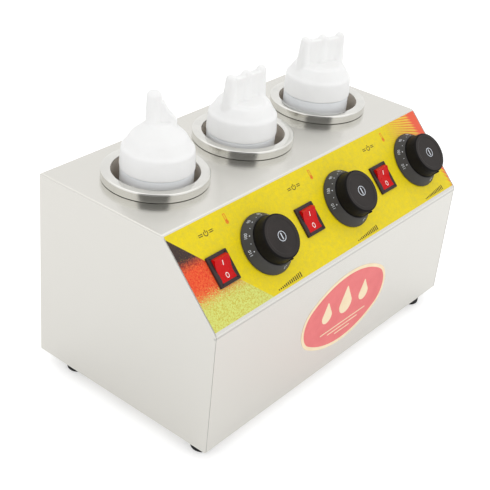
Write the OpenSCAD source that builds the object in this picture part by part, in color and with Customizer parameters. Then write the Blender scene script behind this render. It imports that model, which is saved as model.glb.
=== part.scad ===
// Countertop warmer for three squeeze bottles of hot topping.
// X runs along the front, Y runs to the back and Z runs up from the table.
// The origin is the middle of the footprint on the table.

/* [Housing] */
// Length of the housing
body_l = 430; // [400:1:540]
// Depth of the housing at its lower edge
body_d = 235; // [215:1:300]
// Height of the housing without its feet
body_h = 213; // [185:1:270]
// Depth of the flat top
top_d = 163; // [140:1:170]
// Height of the upright front below the sloping panel
front_h = 138; // [110:1:150]
// Thickness of the sheet steel
sheet_t = 1; // [0.8:0.1:1.5]
// Outer radius of the bends in the sheet steel
bend_r = 2.5; // [2:0.1:4]
// Outer radius of the bend between the panel and the front
low_bend_r = 6; // [2:0.1:7]
// Width of the open seams beside the end panels
seam_gap = 0.4; // [0.2:0.1:0.8]
// Width of the flanges turned in at the lower edge
flange_w = 10; // [9:0.5:11]

/* [Base and feet] */
// Thickness of the base plate
base_t = 1; // [0.8:0.1:2]
// How far the base plate stays inside the housing's faces
base_inset = 2; // [1:0.5:4]
// Height of the housing's lower edge above the table
foot_h = 15; // [12:0.5:20]
// Largest radius of a foot
foot_r = 12; // [9:0.5:14]
// Distance of the left feet's axes from the left end panel
foot_inset_left = 20.5; // [18:0.5:50]
// Distance of the right feet's axes from the right end panel
foot_inset_right = 29.5; // [18:0.5:36]
// Distance of the left front foot's axis from the front
foot_inset_front_left = 21; // [16.5:0.5:50]
// Distance of the right front foot's axis from the front
foot_inset_front_right = 16.5; // [16.5:0.5:50]
// Distance of the back feet's axes from the back
foot_inset_back = 36; // [18:0.5:60]

/* [Wells] */
// Distance between the axes of two wells, switches or knobs
unit_pitch = 136.2; // [125:0.1:150]
// Inner radius of a well cup
cup_r = 44.4; // [42.5:0.1:47]
// Wall thickness of a well cup
cup_t = 0.8; // [0.6:0.1:1.2]
// Depth of a well cup below the flat top
cup_depth = 155; // [120:1:175]
// Outer radius of a cup's rim
rim_r = 54.7; // [53:0.1:58]
// Height of the rim's upper edge above the flat top
rim_h = 9.6; // [7:0.1:12]
// Rounding of the rim's edges
rim_round = 1.6; // [1:0.1:2]

/* [Heaters] */
// Height of a heater band
heater_h = 100; // [60:1:110]
// Height of a heater band's lower edge above the cup's floor
heater_lift = 14; // [10:1:30]
// Thickness of a heater band
heater_t = 2.4; // [1.5:0.1:4]
// Width of the slot where a heater band is clamped
heater_gap = 12; // [8:1:16]

/* [Control panel] */
// Distance of the switches and knobs from the panel's upper bend, measured down the slope
control_u = 53.1; // [45:0.1:60]
// Place of the middle switch along the panel
switch_shift = -32.4; // [-35:0.1:-29]
// Place of the middle knob along the panel
knob_shift = 33.1; // [28:0.1:40]
// Thickness of the printed film on the panel
decal_t = 0.25; // [0.2:0.05:0.5]
// Distance of the printed film from the ends of the panel
decal_end_gap = 2; // [1:0.5:10]
// Distance of the printed film from the upper bend
decal_top_gap = 2.2; // [2:0.1:8]
// Distance of the printed film from the lower bend
decal_low_gap = 3.2; // [2:0.1:8]

/* [Rocker switches] */
// Width of a switch frame
frame_w = 28.5; // [27:0.1:31]
// Height of a switch frame up the slope
frame_h = 32; // [31:0.1:36]
// Thickness of a switch frame above the film
frame_t = 2.4; // [1.5:0.1:3]
// Depth of a switch body behind the panel
switch_depth = 17; // [15:0.5:22]
// Width of a rocker
rocker_w = 20; // [16:0.1:20.6]
// Radius of a rocker about its pivot
rocker_r = 13; // [10.5:0.1:13.4]
// Angle between a rocker's two stops
rocker_turn = 22; // [14:1:24]
// Clearance round a rocker
rocker_gap = 0.3; // [0.2:0.05:0.4]

/* [Knobs] */
// Radius of a knob's numbered skirt
skirt_r = 32; // [30:0.1:36]
// Radius of the grip where it meets the skirt
grip_low_r = 24.6; // [23.5:0.1:26]
// Radius of the grip at its front
grip_top_r = 23.1; // [21:0.1:23.4]
// Height of the skirt's cone, from its back to the grip
skirt_rise = 11.5; // [3:0.1:13]
// Height of a knob's front above the panel
knob_h = 25; // [20:0.5:30]
// Gap between a knob's skirt and the film
knob_gap = 0.6; // [0.4:0.1:1.5]
// Radius of a thermostat shaft
shaft_r = 3; // [2.5:0.1:3.2]
// Running clearance of a shaft in its bore
shaft_gap = 0.05; // [0.02:0.01:0.1]

/* [Bottles] */
// Outer radius of a bottle
bottle_r = 37; // [33:0.1:37.6]
// Wall thickness of a bottle
bottle_t = 1.2; // [0.8:0.1:2]
// Outer radius of a bottle's neck
neck_r = 33; // [30:0.1:33.2]
// Height of the left cap's lower edge above the flat top
cap_rise = 13.3; // [12:0.1:20]
// Height of a cap's collar from its lower edge to its deck
cap_h = 23.2; // [20:0.1:30]
// Outer radius of a cap's collar
cap_r = 37.7; // [37:0.1:39]
// Wall thickness of a cap
cap_t = 1.6; // [1.2:0.1:2.5]
// Height of the three-nozzle tips above the cap's deck
comb_h = 44.4; // [34:0.1:50]
// Distance between neighbouring nozzles
comb_pitch = 23.3; // [18:0.1:24.5]
// Height of the single nozzle's tip above the cap's deck
spout_h = 57; // [46:0.5:70]

/* [Hidden] */
$fn = 64;

// Places of the three units from left to right
LEFT = -1;
MID = 0;
RIGHT = 1;
UNITS = [LEFT, MID, RIGHT];

// Housing planes
front_y = -body_d / 2;
back_y = body_d / 2;
top_front_y = back_y - top_d;
body_z = foot_h;
top_z = foot_h + body_h;
knee_z = foot_h + front_h;
slope_run = top_front_y - front_y;
slope_rise = top_z - knee_z;
slope_l = norm([slope_run, slope_rise]);
slope_a = atan2(slope_rise, slope_run);
strip_l = body_l - 2 * (sheet_t + seam_gap);
bend_steps = 8;

// Fits and small standard parts
seat_gap = 0.02;
fit_gap = 0.15;
loose_gap = 0.3;
m3_r = 1.5;
m4_r = 2;
screw_gap = 0.1;
blade_w = 6.3;
blade_t = 0.8;
blade_l = 8;
wire_r = 1.2;
capillary_r = 0.8;

// Wells and bottles
well_y = (top_front_y + back_y) / 2;
cup_outer_r = cup_r + cup_t;
floor_z = top_z - cup_depth;
rim_top_z = top_z + rim_h;
rim_t = 1;
rim_low_gap = 0.2;
cup_corner_r = 5;
heater_r = cup_outer_r + fit_gap;
heater_z = floor_z + heater_lift;
lug_l = 9;
lug_t = 3;
lug_h = 12;
lug_count = 2;
lead_box = [24, 7, 12];
lead_box_rise = 10;
sensor_r = 3;
sensor_l = 28;
sensor_top_gap = 6;
sensor_heater_gap = 6;
sensor_z = top_z - sheet_t - sensor_top_gap - sensor_l;
heater_len = min(heater_h, sensor_z - sensor_heater_gap - heater_z);
bottle_z = floor_z + loose_gap;
shoulder_gap = 1.2;
// Where each bottle stands in its well, how far its cap is turned, and how much taller it is
bottle_places = [[1.3, -0.5], [-2.4, 1], [-2, 2]];
cap_turns = [-42, -4, -20];
bottle_extras = [0, -2, 4.7];

// Switch and knob details
frame_low_z = decal_t + seat_gap;
switch_body_w = frame_w - 4;
switch_body_h = frame_h - 3.4;
rocker_z = -1.5;
rocker_valley = 4.4;
rocker_floor = 7;
rocker_pin_r = 1.6;
rocker_pin_l = 1.3;
skirt_edge_t = 1.4;
knob_low_z = decal_t + knob_gap;
knob_wall = 2.4;
knob_round = 1.6;
hub_r = 6.5;
shaft_flat = 1.7;
shaft_collar_r = 5;
shaft_collar_t = 2.4;
shaft_depth = 14;
thermostat_r = 17;
thermostat_depth = 22;
thermostat_plate = [42, 26, 1.5];
thermostat_screw_x = 14;
film_hole_r = 19;

// Badge on the upright front
badge_size = [156, 88];
badge_end_r = 30;
badge_x = 6;
badge_rise = 68;
badge_z = body_z + badge_rise;
badge_t = 0.4;

// Supply side
inlet_x = 150;
inlet_rise = 42;
inlet_z = body_z + inlet_rise;
inlet_flange_t = 3;
inlet_flange = [50, 27.4];
inlet_flange_flat = [28, 10];
inlet_body = [27, 19.8, 24];
inlet_socket = [24, 16.2, 17];
inlet_chamfer = 4;
inlet_screw_x = 20;
inlet_pin = [2, 4];
inlet_pin_places = [[-7, -2], [7, -2], [0, 3]];
inlet_pin_front = -1;
inlet_pin_back = -32;
block_size = [46, 18, 20];
block_x = 84;
block_y = 70;
block_screw_x = block_size[0] / 2 - 4;
block_way_step = 12;
block_way_r = 3;
earth_x = 168;
earth_y = 62;

function unit_vec(v) = v / norm(v);

// Name of a unit's place in the lists above
function unit_index(side) = side + 1;
function well_x(side) = side * unit_pitch;
function knob_x(side) = knob_shift + side * unit_pitch;
function switch_x(side) = switch_shift + side * unit_pitch;
function cap_z(side) = top_z + cap_rise + bottle_extras[unit_index(side)];

// Point at u down the slope and h out of it
function slope_pt(x, u, h) = [
  x,
  top_front_y - u * cos(slope_a) - h * sin(slope_a),
  top_z - u * sin(slope_a) + h * cos(slope_a)
];

// Fillet of radius r at corner p between the points a and b
function fillet(a, p, b, r, steps = bend_steps) =
  let (
    u = unit_vec(a - p),
    w = unit_vec(b - p),
    half = acos(u * w) / 2,
    centre = p + unit_vec(u + w) * r / sin(half),
    s = p + u * r / tan(half) - centre,
    e = p + w * r / tan(half) - centre,
    start = atan2(s[1], s[0]),
    turn = (atan2(e[1], e[0]) - start + 540) % 360 - 180
  )
  [for (i = [0:steps]) centre + r * [cos(start + turn * i / steps), sin(start + turn * i / steps)]];

// Corners of the housing's end view, moved inwards by inset
function end_corners(inset, low) = [
  [front_y + inset, low],
  [front_y + inset, knee_z - inset * tan((90 - slope_a) / 2)],
  [top_front_y + inset * tan(slope_a / 2), top_z - inset],
  [back_y - inset, top_z - inset],
  [back_y - inset, low],
];

module along_x(length) {
  rotate([90, 0, 90])
    linear_extrude(length, center = true)
      children();
}

module along_y(length) {
  rotate([90, 0, 0])
    linear_extrude(length, center = true)
      children();
}

// Places children on the slope, with their Z out of it and their Y up it
module on_slope(x, u) {
  translate(slope_pt(x, u, 0))
    rotate([slope_a, 0, 0])
      children();
}

// Places children on the back, with their Z out of it
module on_back(x, z) {
  translate([x, back_y, z])
    rotate([90, 0, 180])
      children();
}

module box(size, z = 0) {
  translate([-size[0] / 2, -size[1] / 2, z])
    cube(size);
}

module end_view(inset, low) {
  c = end_corners(inset, low);
  r = bend_r - inset;
  polygon(concat(
    [c[0]],
    fillet(c[0], c[1], c[2], low_bend_r - inset, 2 * bend_steps),
    fillet(c[1], c[2], c[3], r),
    fillet(c[2], c[3], c[4], r),
    [c[4]]
  ));
}

// Front view of the top sheet with its two turned-down ends
module front_view(inset) {
  half = body_l / 2 - inset;
  low = [half, body_z];
  corner = [half, top_z - inset];
  arc = fillet(low, corner, [0, top_z - inset], bend_r - inset);
  polygon(concat(
    [low],
    arc,
    [for (i = [len(arc) - 1:-1:0]) [-arc[i][0], arc[i][1]]],
    [[-half, body_z]]
  ));
}

base_screw_l = 8;
base_screw_end = 45;
base_screw_x = body_l / 2 - base_screw_end;
base_screw_y = body_d / 2 - sheet_t - flange_w / 2;
base_screw_places = concat(
  [for (x = [-1, 0, 1], y = [-1, 1]) [x * base_screw_x, y * base_screw_y]],
  [for (x = [-1, 1]) [x * (body_l / 2 - sheet_t - flange_w / 2), 0]]
);
foot_left_x = foot_inset_left - body_l / 2;
foot_right_x = body_l / 2 - foot_inset_right;
foot_places = [
  [foot_left_x, front_y + foot_inset_front_left],
  [foot_right_x, front_y + foot_inset_front_right],
  [foot_left_x, back_y - foot_inset_back],
  [foot_right_x, back_y - foot_inset_back],
];

module end_flange() {
  length = body_d - 2 * (sheet_t + flange_w + 3);
  translate([body_l / 2 - sheet_t / 2 - flange_w, -length / 2, body_z])
    cube([flange_w, length, sheet_t]);
}

module housing_shell() {
  color("gainsboro")
    difference() {
      union() {
        // Front, slope, top and back
        along_x(strip_l)
          difference() {
            end_view(0, body_z);
            end_view(sheet_t, body_z - 1);
          }
        // Top with its turned-down ends
        intersection() {
          along_x(body_l)
            end_view(0, body_z);
          along_y(body_d)
            difference() {
              front_view(0);
              translate([0, -1])
                front_view(sheet_t);
            }
        }
        // Flanges that carry the base plate
        for (y = [front_y + sheet_t / 2, back_y - sheet_t / 2 - flange_w])
          translate([-strip_l / 2, y, body_z])
            cube([strip_l, flange_w, sheet_t]);
        end_flange();
        mirror([1, 0, 0])
          end_flange();
      }
      for (side = UNITS) {
        translate([well_x(side), well_y, top_z - 2 * sheet_t])
          cylinder(h = 3 * sheet_t, r = cup_outer_r + loose_gap);
        on_slope(switch_x(side), control_u)
          box([switch_body_w + 0.4, switch_body_h + 0.4, 4], -2);
        on_slope(knob_x(side), control_u)
          translate([0, 0, -3 * sheet_t]) {
            cylinder(h = 6 * sheet_t, r = shaft_r + 2);
            for (x = [-1, 1])
              translate([x * thermostat_screw_x, 0, 0])
                cylinder(h = 6 * sheet_t, r = m4_r + screw_gap);
          }
      }
      for (p = base_screw_places)
        translate([p[0], p[1], body_z - 1])
          cylinder(h = 3, r = m3_r + screw_gap);
      on_back(inlet_x, inlet_z) {
        box([inlet_body[0] + 0.4, inlet_body[1] + 0.4, 4 * sheet_t], -3 * sheet_t);
        for (x = [-1, 1])
          translate([x * inlet_screw_x, 0, -3 * sheet_t])
            cylinder(h = 6 * sheet_t, r = m3_r + screw_gap);
      }
    }
}

vent_l = 34;
vent_w = 3;
vent_step = 12;
vent_reach = 4;

module base_plate() {
  color("silver")
    translate([0, 0, body_z - base_t])
      difference() {
        box([body_l - 2 * base_inset, body_d - 2 * base_inset, base_t]);
        // Air slots below the middle well
        for (row = [-1, 1], k = [-vent_reach:vent_reach])
          translate([k * vent_step, row * vent_l, -1])
            translate([-vent_w / 2, -vent_l / 2, 0])
              cube([vent_w, vent_l, 3]);
        for (p = base_screw_places)
          translate([p[0], p[1], -1])
            cylinder(h = 3, r = m3_r + screw_gap);
        for (p = foot_places)
          translate([p[0], p[1], -1])
            cylinder(h = 3, r = m4_r + screw_gap);
        for (x = [-1, 1])
          translate([block_x + x * block_screw_x, block_y, -1])
            cylinder(h = 3, r = m3_r + screw_gap);
        translate([earth_x, earth_y, -1])
          cylinder(h = 3, r = m4_r + screw_gap);
      }
}

// Pan-head screw with its head's bearing face at Z 0 and its shank upwards
module pan_screw(r, length, head_h) {
  translate([0, 0, -head_h])
    cylinder(h = head_h, r = 2 * r);
  cylinder(h = length, r = r);
}

module base_screws() {
  color("dimgray")
    for (p = base_screw_places)
      translate([p[0], p[1], body_z - base_t])
        pan_screw(m3_r, base_screw_l, m3_head_h);
}

foot_screw_z = 5;
foot_nut_h = 3.2;
foot_draft = 0.6;
foot_edge = 1.2;
foot_well_r = 2 * m4_r + 0.6;
m4_head_h = 2.6;
m3_head_h = 2;

module foot(place) {
  height = foot_h - base_t;
  low_r = foot_r - foot_draft;
  color([0.07, 0.07, 0.07])
    translate([foot_places[place][0], foot_places[place][1], 0])
      difference() {
        rotate_extrude()
          polygon(concat(
            [[0, 0]],
            fillet([0, 0], [low_r, 0], [foot_r, height], foot_edge),
            [[foot_r, height], [0, height]]
          ));
        translate([0, 0, -1])
          cylinder(h = foot_screw_z + 1, r = foot_well_r);
        cylinder(h = height + 1, r = m4_r + screw_gap);
      }
}

module foot_front_left() foot(0);
module foot_front_right() foot(1);
module foot_back_left() foot(2);
module foot_back_right() foot(3);

module foot_screws() {
  color("dimgray")
    for (p = foot_places)
      translate([p[0], p[1], foot_screw_z])
        pan_screw(m4_r, body_z - foot_screw_z + foot_nut_h + 1, m4_head_h);
}

// Corner radius of a nut over its thread radius
nut_ratio = 2.05;

module nut(r, height) {
  difference() {
    cylinder(h = height, r = nut_ratio * r, $fn = 6);
    translate([0, 0, -1])
      cylinder(h = height + 2, r = r + screw_gap / 2);
  }
}

module foot_nuts() {
  color("silver")
    for (p = foot_places)
      translate([p[0], p[1], body_z])
        nut(m4_r, foot_nut_h);
}

collar_gap = 0.5;

// Spacer ring that carries the cup's rim on the flat top
module collar(side) {
  inner_r = cup_outer_r + collar_gap;
  outer_r = rim_r - rim_t - collar_gap;
  color("lightgray")
    translate([well_x(side), well_y, 0])
      rotate_extrude()
        polygon([
          [inner_r, top_z],
          [outer_r, top_z],
          [outer_r, rim_top_z - rim_t],
          [inner_r, rim_top_z - rim_t],
        ]);
}

module collar_left() collar(LEFT);
module collar_mid() collar(MID);
module collar_right() collar(RIGHT);

// Drawn cup with its rim turned out and down round the collar
module well_cup(side) {
  low = top_z + rim_low_gap;
  under = rim_top_z - rim_t;
  bottom = floor_z - cup_t;
  color("lightgray")
    translate([well_x(side), well_y, 0])
      rotate_extrude()
        polygon(concat(
          [[0, bottom]],
          fillet([0, bottom], [cup_outer_r, bottom], [cup_outer_r, under], cup_corner_r + cup_t),
          [[cup_outer_r, under], [rim_r - rim_t, under], [rim_r - rim_t, low], [rim_r, low]],
          fillet([rim_r, low], [rim_r, rim_top_z], [cup_r, rim_top_z], rim_round),
          fillet([rim_r, rim_top_z], [cup_r, rim_top_z], [cup_r, floor_z], rim_round),
          fillet([cup_r, rim_top_z], [cup_r, floor_z], [0, floor_z], cup_corner_r),
          [[0, floor_z]]
        ));
}

module well_cup_left() well_cup(LEFT);
module well_cup_mid() well_cup(MID);
module well_cup_right() well_cup(RIGHT);

function lug_z(k) = heater_z + heater_len * (k + 0.5) / lug_count;

// Split band round the cup, clamped at the back and with its leads at the front
module heater_band(side) {
  outer_r = heater_r + heater_t;
  color("peru")
    translate([well_x(side), well_y, 0])
      difference() {
        union() {
          translate([0, 0, heater_z])
            cylinder(h = heater_len, r = outer_r);
          for (k = [0:lug_count - 1], x = [-1, 1])
            translate([x * (heater_gap / 2 + lug_t / 2), outer_r - 1 + lug_l / 2, 0])
              box([lug_t, lug_l + 2, lug_h], lug_z(k) - lug_h / 2);
          translate([0, -outer_r - lead_box[1] / 2 + 1, 0])
            box(lead_box, heater_z + lead_box_rise);
        }
        translate([0, 0, heater_z - 1])
          cylinder(h = heater_len + 2, r = heater_r);
        translate([0, heater_r, 0])
          box([heater_gap, 2 * lug_l, heater_len + 2], heater_z - 1);
        for (k = [0:lug_count - 1])
          translate([0, outer_r + lug_l / 2, lug_z(k)])
            rotate([0, 90, 0])
              cylinder(h = 4 * heater_gap, r = m4_r + screw_gap, center = true);
      }
}

module heater_band_left() heater_band(LEFT);
module heater_band_mid() heater_band(MID);
module heater_band_right() heater_band(RIGHT);

module heater_clamp_screws() {
  reach = heater_gap / 2 + lug_t;
  color("dimgray")
    for (side = UNITS, k = [0:lug_count - 1])
      translate([well_x(side), well_y + heater_r + heater_t + lug_l / 2, lug_z(k)]) {
        translate([-reach, 0, 0])
          rotate([0, 90, 0])
            pan_screw(m4_r, 2 * reach + foot_nut_h + 2, m4_head_h);
        translate([reach, 0, 0])
          rotate([0, 90, 0])
            nut(m4_r, foot_nut_h);
      }
}

thermostat_z = -sheet_t - seat_gap - thermostat_plate[2];
thermostat_back = thermostat_z - thermostat_depth;
terminal_x = 7;

module thermostat(side) {
  color("whitesmoke")
    on_slope(knob_x(side), control_u)
      difference() {
        union() {
          box(thermostat_plate, thermostat_z);
          translate([0, 0, thermostat_back])
            cylinder(h = thermostat_depth, r = thermostat_r);
          for (x = [-1, 1])
            translate([x * terminal_x, 0, 0])
              box([blade_t, blade_w, blade_l + 1], thermostat_back - blade_l);
        }
        translate([0, 0, -shaft_depth - sheet_t])
          cylinder(h = shaft_depth + 1, r = shaft_r + shaft_gap);
        translate([0, 0, -shaft_depth - sheet_t + 3])
          cylinder(h = shaft_collar_t + 0.4, r = shaft_collar_r + loose_gap);
        for (x = [-1, 1])
          translate([x * thermostat_screw_x, 0, -sheet_t - 8])
            cylinder(h = 9, r = m4_r + screw_gap);
      }
}

module thermostat_left() thermostat(LEFT);
module thermostat_mid() thermostat(MID);
module thermostat_right() thermostat(RIGHT);

module thermostat_screws() {
  color("silver")
    for (side = UNITS, x = [-1, 1])
      on_slope(knob_x(side), control_u)
        translate([x * thermostat_screw_x, 0, 0])
          rotate([180, 0, 0])
            pan_screw(m4_r, sheet_t + 7, 1.4);
}

// D-shaped outline of the shaft's front end
module shaft_section(gap) {
  difference() {
    circle(r = shaft_r + gap);
    translate([-2 * shaft_r, shaft_flat + gap])
      square(4 * shaft_r);
  }
}

shaft_front_z = knob_h - knob_wall - 1.5;

module thermostat_shaft(side) {
  color("goldenrod")
    on_slope(knob_x(side), control_u) {
      translate([0, 0, -shaft_depth - sheet_t + 0.3])
        cylinder(h = shaft_depth + sheet_t + 1, r = shaft_r);
      translate([0, 0, -shaft_depth - sheet_t + 3.2])
        cylinder(h = shaft_collar_t, r = shaft_collar_r);
      linear_extrude(shaft_front_z)
        shaft_section(0);
    }
}

module thermostat_shaft_left() thermostat_shaft(LEFT);
module thermostat_shaft_mid() thermostat_shaft(MID);
module thermostat_shaft_right() thermostat_shaft(RIGHT);

// Straight round rod between two points
module rod(a, b, r) {
  d = b - a;
  translate(a)
    rotate([0, acos(d[2] / norm(d)), atan2(d[1], d[0])])
      cylinder(h = norm(d), r = r, $fn = 24);
}

elbow_swell = 1.08;

// Wire or tube through a list of points, with round elbows
module routed(points, r) {
  for (i = [1:len(points) - 1])
    rod(points[i - 1], points[i], r);
  for (i = [1:len(points) - 2])
    translate(points[i])
      sphere(r = r * elbow_swell, $fn = 24);
}

sensor_y = well_y - cup_outer_r - sensor_r - fit_gap;

// Bulb on the cup's wall and its capillary tube from the thermostat
module sensor(side) {
  start = slope_pt(knob_x(side), control_u, thermostat_back - 0.05);
  away = slope_pt(knob_x(side), control_u, thermostat_back - 14);
  color("goldenrod") {
    translate([well_x(side), sensor_y, sensor_z])
      cylinder(h = sensor_l, r = sensor_r);
    routed([
      start,
      away,
      [well_x(side), sensor_y - 12, sensor_z - 8],
      [well_x(side), sensor_y, sensor_z - 4],
      [well_x(side), sensor_y, sensor_z + 1],
    ], capillary_r);
  }
}

module sensor_left() sensor(LEFT);
module sensor_mid() sensor(MID);
module sensor_right() sensor(RIGHT);

clip_w = 16;
clip_t = 0.8;
clip_h = 10;

// Saddle clips that hold the bulbs to the cups
module sensor_clips() {
  outer = sensor_r + fit_gap + clip_t;
  color("silver")
    for (side = UNITS)
      translate([well_x(side), sensor_y, sensor_z + sensor_l / 2])
        linear_extrude(clip_h, center = true)
          difference() {
            union() {
              circle(r = outer);
              translate([-clip_w / 2, sensor_r - clip_t])
                square([clip_w, clip_t]);
            }
            circle(r = sensor_r + fit_gap);
            translate([-clip_w, sensor_r])
              square([2 * clip_w, outer]);
          }
}

pointer_w = 3;
pointer_out = 1.2;

module knob(side) {
  top_r = grip_top_r;
  cavity_r = grip_top_r - knob_wall;
  grip_z = knob_low_z + skirt_rise + 0.6;
  color([0.2, 0.2, 0.21])
    on_slope(knob_x(side), control_u)
      difference() {
        union() {
          rotate_extrude()
            polygon(concat(
              [
                [0, knob_low_z],
                [skirt_r - 0.4, knob_low_z],
                [skirt_r, knob_low_z + 0.4],
                [skirt_r, knob_low_z + skirt_edge_t],
                [grip_low_r + 0.8, knob_low_z + skirt_rise],
                [grip_low_r + 0.8, knob_low_z + skirt_rise - 0.8],
                [grip_low_r, knob_low_z + skirt_rise - 0.8],
                [grip_low_r, grip_z],
              ],
              fillet([grip_low_r, grip_z], [top_r, knob_h], [0, knob_h], knob_round),
              [[0, knob_h]]
            ));
          // Pointer on the grip, down the slope
          translate([-pointer_w / 2, -grip_top_r - pointer_out, grip_z])
            cube([pointer_w, 6, knob_h - grip_z - knob_round]);
        }
        // Hollow back round the hub
        difference() {
          translate([0, 0, knob_low_z - 1])
            cylinder(h = knob_h - knob_wall - knob_low_z + 1, r = cavity_r);
          translate([0, 0, knob_low_z + 1.4])
            cylinder(h = knob_h, r = hub_r);
        }
        linear_extrude(shaft_front_z + loose_gap)
          shaft_section(shaft_gap);
      }
}

module knob_left() knob(LEFT);
module knob_mid() knob(MID);
module knob_right() knob(RIGHT);

switch_terminal_x = 6;
switch_terminal_y = 7;
switch_terminal_places = [for (x = [-1, 1], y = [-1, 1]) [x * switch_terminal_x, y * switch_terminal_y]];

cavity_deep = rocker_floor + 4.5;
cavity_h = 30;

module switch_frame(side) {
  color([0.18, 0.14, 0.14])
    on_slope(switch_x(side), control_u)
      difference() {
        union() {
          box([frame_w, frame_h, frame_t], frame_low_z);
          box([switch_body_w, switch_body_h, switch_depth + frame_low_z + 1], -switch_depth);
          for (p = switch_terminal_places)
            translate([p[0], p[1], 0])
              box([blade_w, blade_t, blade_l + 1], -switch_depth - blade_l);
        }
        box(
          [rocker_w + 2 * rocker_gap, 2 * (rocker_r + rocker_gap), cavity_h],
          rocker_z - cavity_deep
        );
        translate([0, 0, rocker_z])
          rotate([0, 90, 0])
            cylinder(
              h = rocker_w + 2 * (rocker_pin_l + rocker_gap),
              r = rocker_pin_r + shaft_gap,
              center = true
            );
      }
}

module switch_frame_left() switch_frame(LEFT);
module switch_frame_mid() switch_frame(MID);
module switch_frame_right() switch_frame(RIGHT);

// Rocker at its off stop, with its upper end out
module switch_rocker(side) {
  lean = rocker_turn / 2;
  rise = 2 * rocker_r * tan(lean);
  color("crimson")
    on_slope(switch_x(side), control_u)
      translate([0, 0, rocker_z])
        rotate([lean, 0, 0]) {
          intersection() {
            rotate([0, 90, 0])
              cylinder(h = rocker_w, r = rocker_r, center = true);
            along_x(rocker_w)
              polygon([
                [-2 * rocker_r, -rocker_floor],
                [2 * rocker_r, -rocker_floor],
                [2 * rocker_r, rocker_valley + rise],
                [0, rocker_valley],
                [-2 * rocker_r, rocker_valley + rise],
              ]);
          }
          rotate([0, 90, 0])
            cylinder(h = rocker_w + 2 * rocker_pin_l, r = rocker_pin_r, center = true);
        }
}

module switch_rocker_left() switch_rocker(LEFT);
module switch_rocker_mid() switch_rocker(MID);
module switch_rocker_right() switch_rocker(RIGHT);

module panel_film() {
  film_h = slope_l - decal_top_gap - decal_low_gap;
  color("gold")
    difference() {
      on_slope(0, decal_top_gap + film_h / 2)
        box([body_l - 2 * decal_end_gap, film_h, decal_t]);
      for (side = UNITS) {
        on_slope(switch_x(side), control_u)
          box([switch_body_w + 0.4, switch_body_h + 0.4, 4], -2);
        on_slope(knob_x(side), control_u)
          translate([0, 0, -2])
            cylinder(h = 4, r = film_hole_r);
      }
    }
}

module front_badge() {
  color("salmon")
    translate([badge_x, front_y, badge_z])
      rotate([90, 0, 0])
        linear_extrude(badge_t)
          oval(badge_size, badge_end_r);
}

// Oval of two wide arcs and two end arcs that run into each other smoothly
module oval(size, end_r) {
  a = size[0] / 2;
  b = size[1] / 2;
  wide_r = (a * a + b * b - 2 * a * end_r) / (2 * (b - end_r));
  intersection() {
    translate([0, b - wide_r])
      circle(r = wide_r);
    translate([0, wide_r - b])
      circle(r = wide_r);
    square([2 * wide_r * (a - end_r) / (wide_r - end_r), size[1]], center = true);
  }
  for (x = [-1, 1])
    translate([x * (a - end_r), 0])
      circle(r = end_r);
}

module at_bottle(side) {
  place = bottle_places[unit_index(side)];
  translate([well_x(side) + place[0], well_y + place[1], 0])
    rotate([0, 0, cap_turns[unit_index(side)]])
      children();
}

bottle_low_round = 5;
bottle_shoulder = 2.5;

module bottle(side) {
  low_round = bottle_low_round;
  shoulder = bottle_shoulder;
  inner = bottle_r - bottle_t;
  neck_in = neck_r - bottle_t;
  low_in = bottle_z + bottle_t;
  neck_z = cap_z(side) - shoulder_gap;
  neck_top_z = cap_z(side) + cap_h - cap_t - loose_gap;
  color([0.85, 0.88, 0.92, 0.6])
    at_bottle(side)
      rotate_extrude()
        polygon(concat(
          [[0, bottle_z]],
          fillet([0, bottle_z], [bottle_r, bottle_z], [bottle_r, neck_z], low_round),
          fillet([bottle_r, bottle_z], [bottle_r, neck_z], [neck_r, neck_z], shoulder),
          [[neck_r, neck_z], [neck_r, neck_top_z], [neck_in, neck_top_z], [neck_in, neck_z - bottle_t]],
          fillet([neck_in, neck_z - bottle_t], [inner, neck_z - bottle_t], [inner, low_in], shoulder),
          fillet([inner, neck_z - bottle_t], [inner, low_in], [0, low_in], low_round - bottle_t),
          [[0, low_in]]
        ));
}

module bottle_left() bottle(LEFT);
module bottle_mid() bottle(MID);
module bottle_right() bottle(RIGHT);

// Places a cap's children with the cap's lower edge at their Z 0
module at_cap(side) {
  color("white")
    at_bottle(side)
      translate([0, 0, cap_z(side)])
        children();
}

deck_round = 4.5;
deck_t = cap_t;
cap_taper = 1.2;

// Collar and deck that all caps share
module cap_shell() {
  inner = neck_r + loose_gap;
  top_r = cap_r - cap_taper;
  rotate_extrude()
    polygon(concat(
      [[inner, 0], [cap_r, 0]],
      fillet([cap_r, 0], [top_r, cap_h], [0, cap_h], deck_round),
      [[0, cap_h], [0, cap_h - deck_t], [inner, cap_h - deck_t]]
    ));
}

shoulder_low_r = 34.5;
shoulder_top_r = 28;
shoulder_h = 11;
nozzle_low_r = 8.6;
tip_r = 5.2;
tip_h = 5;
web_t = 9;
dome_top_r = 20;
dome_h = 2.5;
ledge_r = 19;
ledge_shift = 8;
nozzle_bore_r = 1;
comb_wall = 1.5;

// Sloping shoulder on the deck of every cap, made smaller by inset for its hollow
module shoulder(inset) {
  cylinder(h = shoulder_h, r1 = shoulder_low_r - inset, r2 = shoulder_top_r - inset);
}

// Row of three tapered nozzles joined by a web, made smaller by inset for its hollow
module comb_block(inset) {
  web_h = comb_h - tip_h - inset;
  for (x = [-1, 0, 1])
    translate([x * comb_pitch, 0, -inset])
      cylinder(h = comb_h - tip_r, r1 = nozzle_low_r - inset, r2 = tip_r - inset / 2);
  translate([-comb_pitch, -web_t / 2 + inset, -inset])
    cube([2 * comb_pitch, web_t - 2 * inset, web_h + inset]);
}

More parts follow.
